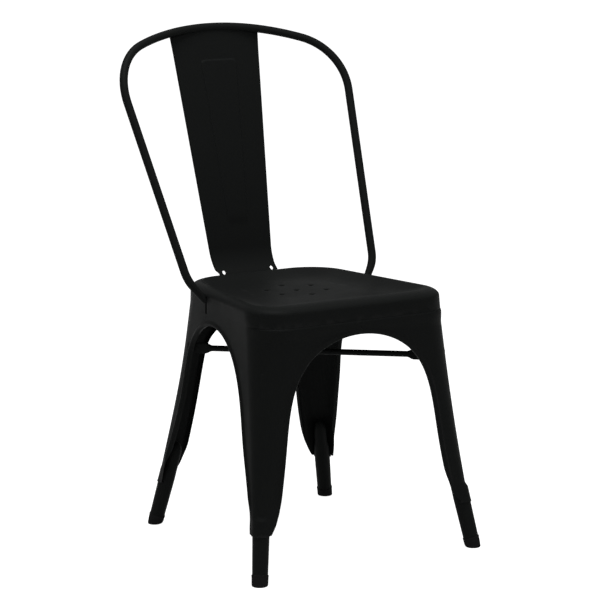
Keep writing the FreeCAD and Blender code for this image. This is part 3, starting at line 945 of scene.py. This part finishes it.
# The dish inside its last ring, open at the drain holes, which have rings of points round them
def fillDish(ring, coords):
    sizes = seatSizes
    radius = sizes["holeRadius"]
    sides = sizes["holeSides"]
    plane = [point.xy for point in ring]
    border = loopEdges(len(ring))
    for hole in holes:
        border += loopEdges(sides, len(plane))
        for width in sizes["holeRows"]:
            plane += [hole + spokeAt(angle, radius + width) for angle in turnsRound(sides)]
    step = sizes["fieldStep"]
    edge = flatTree(ring)
    reachX = max(point.x for point in ring)
    lowY = min(point.y for point in ring)
    highY = max(point.y for point in ring)
    for row, y in enumerate(evenSteps(lowY, highY, step * sizes["rowShare"])):
        for x in evenSteps(-reachX - row % 2 * step / 2, reachX, step):
            point = Vector((x, y))
            nearest, index, distance = edge.find((x, y, 0))
            inside = (point - nearest.xy).dot(holes[0] - nearest.xy) > 0
            clear = holeDistance(point) > radius + sizes["holeClear"]
            if clear and inside and distance > fieldClear * step:
                plane.append(point)
    places, triangles = fillPlane(plane, border)
    start = len(coords)
    coords += [Vector((place.x, place.y, dishHeight(place, ring[0].z))) for place in places]
    kept = []
    for triangle in triangles:
        middle = sum((places[index] for index in triangle), Vector((0.0, 0.0))) / 3
        if holeDistance(middle) > radius * sizes["holeShare"]:
            kept.append([start + index for index in triangle])
    return kept


seatPan = makeSeatPan()
finishPiece(seatPan, ["seat_pan"])
print("seat ready")


# Back hoop, a tube bent along straight runs and arcs

def arcPoints(before, corner, after, radius, turnStep):
    back = (before - corner).normalized()
    ahead = (after - corner).normalized()
    halfTurn = back.angle(ahead) / 2
    middle = corner + (back + ahead).normalized() * (radius / math.sin(halfTurn))
    start = corner + back * (radius / math.tan(halfTurn))
    axis = back.cross(ahead).normalized()
    sweep = math.pi - 2 * halfTurn
    count = math.ceil(sweep / turnStep)
    spoke = start - middle
    return [middle + Matrix.Rotation(-sweep * i / count, 3, axis) @ spoke for i in range(count + 1)]


# A straight run up to an arc, then the arc without its last point
def runIntoArc(start, arc, step):
    length = (arc[0] - start).length
    return [start.lerp(arc[0], t / length) for t in evenSteps(0.0, length, step)] + arc[:-1]


# Left side of the hoop, from the end of its tail to the rail
def hoopHalf():
    sizes = backHoop

    def left(x, reach, z):
        return Vector((-x, seatY + reach, z))

    end, low, shoulder = [left(*sizes[name]) for name in ("end", "low", "shoulder")]
    knee = left(sizes["railHalf"], sizes["topReach"], sizes["topZ"])
    railStart = knee + (shoulder - knee).normalized() * sizes["railHalf"]
    run = (shoulder - railStart).length
    halfTurn = (low - shoulder).angle(railStart - shoulder) / 2
    lowArc = arcPoints(end, low, shoulder, sizes["lowBend"], sizes["lowTurn"])
    topArc = arcPoints(low, shoulder, railStart, run * math.tan(halfTurn), sizes["topTurn"])
    points = runIntoArc(end, lowArc, sizes["pathStep"]) + runIntoArc(lowArc[-1], topArc, sizes["pathStep"])
    return points, topArc[-1], left(0.0, sizes["topReach"], sizes["topZ"])


# Top rail: one arc through its middle and the ends of both shoulders
def railPoints(shoulderEnd, top):
    chord = Vector((0.0, shoulderEnd.y, shoulderEnd.z))
    rise = (top - chord).length
    half = -shoulderEnd.x
    radius = (half * half + rise * rise) / (2 * rise)
    down = (chord - top).normalized()
    reach = math.asin(half / radius)
    count = math.ceil(2 * half / backHoop["pathStep"])
    points = []
    for i in range(count + 1):
        angle = -reach + 2 * reach * i / count
        across = Vector((radius * math.sin(angle), 0, 0))
        points.append(top + across + down * (radius * (1 - math.cos(angle))))
    return points


def hoopPath():
    half, shoulderEnd, top = hoopHalf()
    return half + railPoints(shoulderEnd, top) + mirrored(half[::-1])


# A tree that takes an object's edges as a curve, with a material and the inputs of the given kinds
def startTree(name, kinds):
    tree = bpy.data.node_groups.new(name, "GeometryNodeTree")
    addSockets(tree, "INPUT", {"Geometry": ["Geometry"], **kinds, "Material": ["Material"]})
    addSockets(tree, "OUTPUT", {"Geometry": ["Geometry"]})
    given = tree.nodes.new("NodeGroupInput").outputs
    path = addNode(tree, "GeometryNodeMeshToCurve", {"Mesh": given["Geometry"]})
    return tree, given, path.outputs["Curve"]


# Every tree ends with real geometry and its material
def finishTree(tree, geometry, material):
    real = addNode(tree, "GeometryNodeRealizeInstances", {"Geometry": geometry}).outputs["Geometry"]
    painted = addNode(tree, "GeometryNodeSetMaterial", {"Geometry": real, "Material": material})
    addNode(tree, "NodeGroupOutput", {"Geometry": painted.outputs["Geometry"]})


# Runs a node tree on an object with its inputs given by name, and keeps the result as its mesh
def runTree(piece, tree, values):
    modifier = piece.modifiers.new(tree.name, "NODES")
    modifier.node_group = tree
    for item in tree.interface.items_tree:
        if item.in_out == "INPUT" and item.name in values:
            modifier[item.identifier] = values[item.name]
    bakeModifiers(piece)


# Sweeps a round tube along a path and narrows it towards both ends
def makeTubeTree():
    kinds = {"Float": ["Radius", "Tail Radius", "Tail Length"], "Int": ["Sides"]}
    tree, given, path = startTree("sweptTube", kinds)
    along = tree.nodes.new("GeometryNodeSplineParameter").outputs["Length"]
    whole = tree.nodes.new("GeometryNodeSplineLength").outputs["Length"]
    fromEnd = makeMath(tree, "MINIMUM", along, makeMath(tree, "SUBTRACT", whole, along))
    limits = {"From Max": given["Tail Length"], "To Min": given["Tail Radius"], "To Max": given["Radius"]}
    ramp = addNode(tree, "ShaderNodeMapRange", {"Value": fromEnd, **limits}, interpolation_type="SMOOTHSTEP")
    circle = addNode(tree, "GeometryNodeCurvePrimitiveCircle", {"Radius": 1.0, "Resolution": given["Sides"]})
    sweep = addNode(tree, "GeometryNodeCurveToMesh", {
        "Curve": path,
        "Profile Curve": circle.outputs["Curve"],
        "Scale": ramp.outputs["Result"],
        "Fill Caps": True,
    })
    finishTree(tree, sweep.outputs["Mesh"], given["Material"])
    return tree


hoopLine = hoopPath()
backTube = makeObject("backHoop", hoopLine, [], [(i, i + 1) for i in range(len(hoopLine) - 1)])
runTree(backTube, makeTubeTree(), {
    "Radius": backHoop["radius"] * mm,
    "Tail Radius": backHoop["tailRadius"] * mm,
    "Tail Length": backHoop["tailLength"] * mm,
    "Sides": backHoop["sides"],
    "Material": coat,
})
finishPiece(backTube, ["back_hoop"])
print("hoop ready")


# Back splat

# Half widths and rises of the splat; the rolled side is distances in from the edge with depths
# behind the face, and from fitFrom upward the rows are fitted under the hoop's rail.
splatSizes = {
    "topHalf": 86.0,
    "topForward": 4.4,
    "topDrop": 6.3,
    "footHalf": 59.4,
    "footRise": 29.0,
    "kick": 26.5,
    "heelHalf": 57.4,
    "lowestHalf": 56.5,
    "bend": 70.0,
    "bendTurn": 0.045,
    "heel": 24.0,
    "heelTurn": 0.09,
    "rolledSide": [(2.4, 0.06), (1.5, 0.35), (0.75, 0.9), (0.25, 1.7), (0.0, 2.7), (0.0, 4.2), (0.15, 5.8),
                   (0.7, 7.0)],
    "rollStart": (429.0, 440.0),
    "leastRoll": 0.04,
    "flatInset": 3.4,
    "fitFrom": 800.0,
    "railDrop": 2.6,
    "reliefRadius": 3.0,
    "reliefX": 47.0,
    "reliefRise": 11.0,
    "reliefRun": (100.0, 220.0),
    "reliefSides": 32,
    "rowStep": 4.5,
    "outerColumns": 11,
    "innerColumns": 12,
}

# The raised panel; its rows lie closer from below to above its top edge
panelSizes = {
    "topHalf": 33.0,
    "topDrop": 57.3,
    "footHalf": 17.0,
    "footRise": 85.0,
    "height": 1.6,
    "slope": 3.0,
    "slopeShares": (-0.2, 0.0, 0.15, 0.35, 0.5, 0.65, 0.85, 1.0, 1.2),
    "clear": 0.6,
    "corner": 6.0,
    "fade": 18.0,
    "rowsBelow": 8.0,
    "rowsAbove": 6.0,
    "rowStep": 0.9,
}

splatFootZ = shell["rimZ"] + splatSizes["footRise"]
splatTopZ = backHoop["topZ"] - splatSizes["topDrop"]
splatFootY = seatY + shell["skirt"][4] + shell["gap"] + splatSizes["kick"]
splatTopY = seatY + backHoop["topReach"] - splatSizes["topForward"]
panelTopZ = backHoop["topZ"] - panelSizes["topDrop"]
panelFootZ = shell["rimZ"] + panelSizes["footRise"]


def splatFaceY(z):
    return splatFootY + (splatTopY - splatFootY) * (z - splatFootZ) / (splatTopZ - splatFootZ)


# Front side of the splat in profile: points with a rear-pointing normal, foot first
def splatProfile():
    sizes = splatSizes
    flangeY = splatFootY - sizes["kick"]
    low = Vector((0, flangeY, shell["skirtZ"]))
    heel = Vector((0, flangeY, splatFootZ - sizes["kick"]))
    bend = Vector((0, splatFootY, splatFootZ))
    top = Vector((0, splatFaceY(backHoop["topZ"]), backHoop["topZ"]))
    heelArc = arcPoints(low, heel, bend, sizes["heel"], sizes["heelTurn"])
    bendArc = arcPoints(heel, bend, top, sizes["bend"], sizes["bendTurn"])
    step = sizes["rowStep"]
    below = panelTopZ - panelSizes["rowsBelow"]
    above = panelTopZ + panelSizes["rowsAbove"]
    heights = evenSteps(bendArc[-1].z, below, step) + evenSteps(below, above, panelSizes["rowStep"])
    heights += evenSteps(above, top.z, step) + [top.z]
    points = runIntoArc(low, heelArc, step) + runIntoArc(heelArc[-1], bendArc, step)
    points += [Vector((0, splatFaceY(z), z)) for z in heights]
    rows = []
    for index, point in enumerate(points):
        along = (points[min(index + 1, len(points) - 1)] - points[max(index - 1, 0)]).normalized()
        rows.append((point, Vector((0, along.z, -along.y))))
    return rows


def splatHalf(z):
    sizes = splatSizes
    heelZ = shell["rimZ"] + sizes["reliefRise"] - sizes["reliefRadius"]
    corners = [(shell["skirtZ"], sizes["lowestHalf"]), (heelZ, sizes["heelHalf"]),
               (splatFootZ, sizes["footHalf"]), (splatTopZ, sizes["topHalf"])]
    for (lowZ, lowHalf), (highZ, highHalf) in zip(corners, corners[1:]):
        if z <= highZ or highZ == splatTopZ:
            return lowHalf + (highHalf - lowHalf) * (z - lowZ) / (highZ - lowZ)


def panelHalf(z):
    share = (z - panelFootZ) / (panelTopZ - panelFootZ)
    return panelSizes["footHalf"] + (panelSizes["topHalf"] - panelSizes["footHalf"]) * share


def panelHeight(x, z):
    corner = panelSizes["corner"]
    across = abs(x) - panelHalf(z) + corner
    upward = z - panelTopZ + corner
    outside = math.hypot(max(across, 0), max(upward, 0)) + min(max(across, upward), 0) - corner
    foot = smoothStep((z - panelFootZ) / panelSizes["fade"])
    return panelSizes["height"] * (1 - smoothStep(outside / panelSizes["slope"])) * foot


# Columns of one half: distances from the middle at a height, with depths behind the face
def splatColumns(z):
    sizes = splatSizes
    inner = panelHalf(z)
    half = splatHalf(z)
    flat = inner - panelSizes["clear"]
    count = sizes["innerColumns"]
    columns = [(flat * i / count, 0.0) for i in range(count)]
    columns += [(inner + share * panelSizes["slope"], 0.0) for share in panelSizes["slopeShares"]]
    outerStart = columns[-1][0]
    outerEnd = half - sizes["flatInset"]
    count = sizes["outerColumns"]
    columns += [(outerStart + (outerEnd - outerStart) * i / count, 0.0) for i in range(1, count + 1)]
    roll = sizes["leastRoll"] + (1 - sizes["leastRoll"]) * fadeBetween(z, sizes["rollStart"])
    return columns + [(half - inset, depth * roll) for inset, depth in sizes["rolledSide"]]


# Height of the hoop's axis above a distance from the middle, so that the splat ends inside the tube
def railHeight(x):
    rail = [point for point in hoopLine if point.z > splatSizes["fitFrom"]]
    return min(rail, key=lambda point: abs(point.x - x)).z


def makeReliefCutter(side):
    sizes = splatSizes
    near, far = sizes["reliefRun"]
    start = Vector((side * sizes["reliefX"], seatY, shell["rimZ"] + sizes["reliefRise"]))
    middle = start + Vector((0, (near + far) / 2, 0))
    radius = sizes["reliefRadius"]
    profile = [(near, tipRadius / 2), (near, radius), (far, radius), (far, tipRadius / 2)]
    cutter = makeObject("reliefCutter", *latheMesh(start, Vector((0, 1, 0)), profile, sizes["reliefSides"]))
    joinSheet(cutter, lambda point: point - middle)
    return cutter


def makeSplat():
    rows = splatProfile()
    fitFrom = splatSizes["fitFrom"]
    coords = []
    for point, rear in rows:
        columns = splatColumns(point.z)
        line = [(-x, depth) for x, depth in reversed(columns[1:])] + columns
        for x, depth in line:
            place = Vector((x, point.y, point.z)) + rear * (depth - panelHeight(x, point.z))
            if point.z > fitFrom:
                limit = railHeight(x) - splatSizes["railDrop"]
                z = fitFrom + (point.z - fitFrom) * (limit - fitFrom) / (backHoop["topZ"] - fitFrom)
                place.y += splatFaceY(z) - splatFaceY(point.z)
                place.z += z - point.z
            coords.append(place)
    splat = makeObject("backSplat", coords, gridFaces(len(rows), len(line)))
    joinSheet(splat, lambda point: Vector((0, -1, 0)))
    thicken(splat, shell["sheet"])
    for side in (-1, 1):
        cutAway(splat, makeReliefCutter(side))
    return splat


splat = makeSplat()
finishPiece(splat, ["back_splat"])
print("splat ready")


# Foot tubes and glides

# Rows of the lip are drops below the glide's top with shares of the lip's rise
glideSizes = {
    "wall": 0.8,
    "height": 17.0,
    "round": 2.2,
    "roundSteps": 6,
    "rows": (4.0, 8.0, 12.0),
    "lip": 0.35,
    "lipRows": [(2.6, 0.0), (2.2, 0.6), (1.4, 1.0), (0.6, 0.6), (0.1, 0.0)],
    "topEdge": 0.6,
    "clear": 0.05,
    "levelBelow": 9.0,
}

footCorners = [(end, name, side) for end in ("front", "rear") for name, side in (("Left", -1), ("Right", 1))]


def footAxis(side, end):
    tube = footTube[end]
    way = endWays[end]
    floorPoint = Vector((side * tube["x"], seatY + way * tube["reach"], 0))
    return floorPoint, Vector((-side * tube["leanX"], -way * tube["leanReach"], 1))


# The tube runs up into the leg, where its top is pinched
def footProfile():
    wall = footTube["wall"]
    heights = (footTube["bottomZ"], *footTube["rows"], shell["cuffZ"])
    outer = [(z, footRadius(z)) for z in heights] + footTube["plug"]
    return outer + [(z - wall, max(radius - wall, tipRadius)) for z, radius in reversed(outer)]


def glideProfile():
    sizes = glideSizes
    top = sizes["height"]
    rounding = sizes["round"]
    bottomZ = footTube["bottomZ"]

    def radiusAt(z):
        return footRadius(z) + sizes["wall"]

    profile = [(0.0, tipRadius), (0.0, radiusAt(0.0) - rounding)]
    for angle in quarterTurn(sizes["roundSteps"])[1:]:
        z = rounding * (1 - math.cos(angle))
        profile.append((z, radiusAt(z) - rounding + rounding * math.sin(angle)))
    profile += [(z, radiusAt(z)) for z in sizes["rows"]]
    profile += [(top - drop, radiusAt(top) + sizes["lip"] * share) for drop, share in sizes["lipRows"]]
    return profile + [(top, radiusAt(top) - sizes["topEdge"]), (top, footRadius(top) + sizes["clear"]),
                      (bottomZ, footRadius(0.0) + sizes["clear"]), (bottomZ, tipRadius)]


# The pinched top is set over towards the seat's middle
def makeFoot(name, floorPoint, heading):
    sizes = footTube
    inward = Vector((heading.x, heading.y, 0)).normalized()
    coords, faces = latheMesh(floorPoint, heading, footProfile(), sizes["segments"])
    shares = [smoothStep((point.z - sizes["shiftFrom"]) / sizes["shiftRun"]) for point in coords]
    coords = [point + inward * (sizes["shift"] * share) for point, share in zip(coords, shares)]
    return makeObject(name, coords, faces)


def makeGlide(name, floorPoint, heading):
    return makeObject(name, *latheMesh(floorPoint, heading, glideProfile(), footTube["segments"],
                                       glideSizes["levelBelow"]))


for end, sideName, side in footCorners:
    floorPoint, heading = footAxis(side, end)
    node = end + "_" + sideName.lower()
    foot = makeFoot(end + sideName + "Foot", floorPoint, heading)
    joinSheet(foot, lambda point: point - floorPoint - heading * point.z)
    finishPiece(foot, [node + "_foot"])
    glide = makeGlide(end + sideName + "Glide", floorPoint, heading)
    joinSheet(glide, lambda point: point - floorPoint - heading * point.z)
    finishPiece(glide, [node + "_glide"], softBlack)
print("feet ready")


# Welds round the foot tubes, under the sheet's lower end

weldSizes = {
    "spacing": 1.3,
    "ripple": 1.25,
    "segments": 10,
    "rings": 6,
    "smallest": 0.88,
    "largest": 1.08,
    "away": 0.75,
    "drop": 0.5,
    "halfTurn": 86.0,
    "steps": 48,
    "seed": 7,
}


# Lays overlapping ripples of slightly uneven size along a path
def makeWeldTree():
    sizes = weldSizes
    tree, given, path = startTree("weldRipples", {"Float": ["Spacing", "Ripple"], "Int": ["Seed"]})
    inputs = {"Curve": path, "Length": given["Spacing"]}
    evenly = addNode(tree, "GeometryNodeResampleCurve", inputs, mode="LENGTH")
    inputs = {"Segments": sizes["segments"], "Rings": sizes["rings"], "Radius": 1.0}
    ball = addNode(tree, "GeometryNodeMeshUVSphere", inputs)
    inputs = {2: sizes["smallest"], 3: sizes["largest"], "Seed": given["Seed"]}
    uneven = addNode(tree, "FunctionNodeRandomValue", inputs, data_type="FLOAT")
    ripples = addNode(tree, "GeometryNodeInstanceOnPoints", {
        "Points": evenly.outputs["Curve"],
        "Instance": ball.outputs["Mesh"],
        "Scale": makeMath(tree, "MULTIPLY", uneven.outputs[1], given["Ripple"]),
    })
    finishTree(tree, ripples.outputs["Instances"], given["Material"])
    return tree


# Path of a weld on the outer side of its tube
def weldLine(floorPoint, heading):
    sizes = weldSizes
    z = legSizes["lowZ"] - sizes["drop"]
    middle = floorPoint + heading * z
    outward = -Vector((heading.x, heading.y, 0)).normalized() * (footRadius(z) + sizes["away"])
    steps = sizes["steps"]
    turns = [math.radians(sizes["halfTurn"]) * (2 * i / steps - 1) for i in range(steps + 1)]
    return [middle + Matrix.Rotation(turn, 3, "Z") @ outward for turn in turns]


weldTree = makeWeldTree()
for end, sideName, side in footCorners:
    line = weldLine(*footAxis(side, end))
    weld = makeObject(end + sideName + "Weld", line, [], [(i, i + 1) for i in range(len(line) - 1)])
    runTree(weld, weldTree, {
        "Spacing": weldSizes["spacing"] * mm,
        "Ripple": weldSizes["ripple"] * mm,
        "Seed": weldSizes["seed"],
        "Material": coat,
    })
    finishPiece(weld)
print("welds ready")


# Cross braces: round rods with flattened ends, lapped and riveted where they cross

# Distances run from the crossing; a section's squareness is 2 where it is round
braceSizes = {
    "radius": 5.0,
    "z": (lowCorner("cross_brace_upper").z + highCorner("cross_brace_upper").z) / 2,
    "frontX": 137.0,
    "frontReach": 150.0,
    "rearX": 128.0,
    "rearReach": 88.0,
    "tabInside": 8.0,
    "tabHalfHeight": 9.0,
    "tabHalfThickness": 2.25,
    "tabRun": 12.0,
    "lapHalf": 17.0,
    "lapHalfWidth": 7.5,
    "lapHalfHeight": 2.0,
    "lapRun": 9.0,
    "squareness": 5.0,
    "wallShare": 0.6,
    "wallReach": 90.0,
    "halvings": 40,
    "lapRows": 30.0,
    "tabRows": (20.0, 6.0),
    "rowSteps": (1.5, 8.0, 1.3, 6.0),
    "sides": 32,
}


def braceEnds(side):
    sizes = braceSizes
    rear = Vector((side * sizes["rearX"], seatY + sizes["rearReach"], sizes["z"]))
    front = Vector((-side * sizes["frontX"], seatY - sizes["frontReach"], sizes["z"]))
    return rear, front


# Distance along a level line at which it meets the inner face of the sheet
def wallDistance(start, heading, end):
    middleX, middleReach, radius, sweep = cornerShape(levelAt(start.z), end)
    inside = shell["sheet"] * braceSizes["wallShare"]
    low = 0.0
    high = braceSizes["wallReach"]
    for step in range(braceSizes["halvings"]):
        middle = (low + high) / 2
        point = start + heading * middle
        away = math.hypot(max(abs(point.x) - middleX, 0), max(abs(point.y - seatY) - middleReach, 0))
        if away < radius - inside:
            low = middle
        else:
            high = middle
    return low


# Half width, half height, lift and squareness of a brace's section at a distance from its crossing
def braceSection(away, toTab, lift):
    sizes = braceSizes
    lap = 1 - smoothStep((away - sizes["lapHalf"] + sizes["lapRun"] / 2) / sizes["lapRun"])
    tab = smoothStep((away - toTab + sizes["tabRun"] / 2) / sizes["tabRun"])
    rod = 1 - lap - tab
    width = rod * sizes["radius"] + lap * sizes["lapHalfWidth"] + tab * sizes["tabHalfThickness"]
    height = rod * sizes["radius"] + lap * sizes["lapHalfHeight"] + tab * sizes["tabHalfHeight"]
    return width, height, lap * lift, 2 + sizes["squareness"] * (lap + tab)


# Rows of a brace are closer at its lap and at its tabs
def makeBrace(name, side, lift):
    sizes = braceSizes
    rear, front = braceEnds(side)
    heading = (front - rear).normalized()
    across = Vector((-heading.y, heading.x, 0))
    crossing = rear + (front - rear) * (-rear.x / (front.x - rear.x))
    reaches = {-1: (rear - crossing).length, 1: (front - crossing).length}
    stations = [0.0]
    for way, end in ((-1, "rear"), (1, "front")):
        nominal = reaches[way]
        limit = nominal + wallDistance(crossing + heading * (way * nominal), heading * way, end)
        before, after = sizes["tabRows"]
        marks = [0.0, sizes["lapRows"], nominal - before, nominal + after, limit]
        for start, finish, step in zip(marks, marks[1:], sizes["rowSteps"]):
            stations += [way * place for place in evenSteps(start, finish, step) if place > 0]
        stations.append(way * limit)
    stations.sort()
    sides = sizes["sides"]
    coords = []
    for station in stations:
        toTab = reaches[-1 if station < 0 else 1] - sizes["tabInside"]
        width, height, lifted, square = braceSection(abs(station), toTab, lift)
        for angle in turnsRound(sides):
            c = math.cos(angle)
            s = math.sin(angle)
            point = crossing + heading * station
            point = point + across * (width * math.copysign(abs(c) ** (2 / square), c))
            point.z += lifted + height * math.copysign(abs(s) ** (2 / square), s)
            coords.append(point)
    faces = [tuple(range(sides)), tuple(range(len(coords) - sides, len(coords)))]
    faces += gridFaces(len(stations), sides, 0, True)
    brace = makeObject(name, coords, faces)
    joinSheet(brace, lambda point: point - crossing - heading * (point - crossing).dot(heading))
    return brace, crossing


# At the crossing one flattened rod lies on the other
lapLift = braceSizes["lapHalfHeight"]
upperBrace, crossing = makeBrace("crossBraceUpper", -1, lapLift)
finishPiece(upperBrace, ["cross_brace_upper"])
lowerBrace, crossing = makeBrace("crossBraceLower", 1, -lapLift)
finishPiece(lowerBrace, ["cross_brace_lower"])

rivetSizes = {"shank": 2.9, "head": 5.5, "rise": 2.2, "grip": 4.0, "steps": 8, "sides": 32}


def makeRivet(place):
    sizes = rivetSizes
    profile = [(-sizes["grip"] - sizes["rise"], tipRadius)]
    for way in (-1, 1):
        dome = []
        for angle in quarterTurn(sizes["steps"]):
            height = way * (sizes["grip"] + sizes["rise"] * math.cos(angle))
            dome.append((height, max(sizes["head"] * math.sin(angle), tipRadius)))
        dome.append((way * sizes["grip"], sizes["shank"]))
        profile += dome[1:] if way < 0 else dome[::-1]
    rivet = makeObject("braceRivet", *latheMesh(place, Vector((0, 0, 1)), profile, sizes["sides"]))
    joinSheet(rivet, lambda point: Vector((point.x - place.x, point.y - place.y, 0)))
    return rivet


finishPiece(makeRivet(crossing), ["brace_rivet"])
print("braces ready")


# Floor, light and camera

# Camera, glossy and transmission rays meet a dim floor with a glow, which keeps its shadow and turns
# the background white; other light meets plain paint.
stageSizes = {
    "floorRadius": 60.0,
    "floorColour": (0.80, 0.80, 0.80, 1.0),
    "skyStrength": 0.46,
    "floorGlow": 0.97,
    "seenFloor": (0.3, 0.3, 0.3, 1.0),
}


def makeFloorPaint():
    sizes = stageSizes
    material = bpy.data.materials.new("floorPaint")
    material.use_nodes = True
    tree = material.node_tree
    tree.nodes.remove(tree.nodes["Principled BSDF"])
    plain = addNode(tree, "ShaderNodeBsdfDiffuse", {"Color": sizes["floorColour"]})
    seen = addNode(tree, "ShaderNodeBsdfDiffuse", {"Color": sizes["seenFloor"]})
    glow = addNode(tree, "ShaderNodeEmission", {"Strength": sizes["floorGlow"]})
    add = addNode(tree, "ShaderNodeAddShader", {0: seen.outputs[0], 1: glow.outputs[0]})
    path = tree.nodes.new("ShaderNodeLightPath").outputs
    direct = makeMath(tree, "ADD", path["Is Camera Ray"], path["Is Glossy Ray"])
    share = makeMath(tree, "ADD", direct, path["Is Transmission Ray"])
    mix = addNode(tree, "ShaderNodeMixShader", {0: share, 1: plain.outputs[0], 2: add.outputs[0]})
    tree.links.new(mix.outputs[0], tree.nodes["Material Output"].inputs["Surface"])
    return material


def makeFloor():
    reach = stageSizes["floorRadius"] / mm
    corners = [(-reach, -reach, 0), (reach, -reach, 0), (reach, reach, 0), (-reach, reach, 0)]
    floor = makeObject("floor", corners, [(0, 1, 2, 3)])
    floor.data.materials.append(makeFloorPaint())


# One plain grey all round
def makeWorld():
    world = bpy.data.worlds.new("studio")
    world.use_nodes = True
    background = world.node_tree.nodes["Background"]
    background.inputs["Color"].default_value = (1, 1, 1, 1)
    background.inputs["Strength"].default_value = stageSizes["skyStrength"]
    bpy.context.scene.world = world


lamps = [
    {"name": "leftPanel", "place": (-3.2, 0.4, 1.6), "aim": (0.0, 0.0, 0.45), "size": 1.6, "power": 0.8},
    {"name": "frontPanel", "place": (0.0, -2.7, 2.5), "aim": (0.0, 0.0, 0.5), "size": 0.6, "power": 20.0},
    {"name": "topPanel", "place": (-0.2, -0.1, 2.8), "aim": (0.0, 0.0, 0.4), "size": 1.0, "power": 62.0},
]


def makeLamps():
    for lamp in lamps:
        data = bpy.data.lights.new(lamp["name"], "AREA")
        data.shape = "SQUARE"
        data.size = lamp["size"]
        data.energy = lamp["power"]
        lampObject = bpy.data.objects.new(lamp["name"], data)
        bpy.context.scene.collection.objects.link(lampObject)
        lampObject.location = lamp["place"]
        heading = Vector(lamp["aim"]) - Vector(lamp["place"])
        lampObject.rotation_euler = heading.to_track_quat("-Z", "Y").to_euler()


cameraSizes = {
    "lookAt": (0.01569, -0.00712, 0.39913),
    "distance": 3.92547,
    "azimuth": -31.03,
    "elevation": 10.20,
    "roll": -0.53,
    "lens": 140.81,
    "sensor": 36.0,
    "farthest": 200.0,
}


def makeCamera():
    azimuth, elevation, roll = [math.radians(cameraSizes[name]) for name in ("azimuth", "elevation", "roll")]
    back = Vector((math.sin(azimuth) * math.cos(elevation), -math.cos(azimuth) * math.cos(elevation),
                   math.sin(elevation)))
    right = Vector((math.cos(azimuth), math.sin(azimuth), 0.0))
    up = back.cross(right)
    right, up = right * math.cos(roll) + up * math.sin(roll), up * math.cos(roll) - right * math.sin(roll)
    camera = bpy.data.objects.new("camera", bpy.data.cameras.new("camera"))
    bpy.context.scene.collection.objects.link(camera)
    place = Vector(cameraSizes["lookAt"]) + back * cameraSizes["distance"]
    turn = Matrix((right, up, back)).transposed().to_4x4()
    camera.matrix_world = Matrix.Translation(place) @ turn
    camera.data.lens = cameraSizes["lens"]
    camera.data.sensor_width = cameraSizes["sensor"]
    camera.data.clip_end = cameraSizes["farthest"]
    bpy.context.scene.camera = camera


makeFloor()
makeWorld()
makeLamps()
makeCamera()
bpy.context.scene.view_settings.view_transform = "Standard"
print("stage ready")
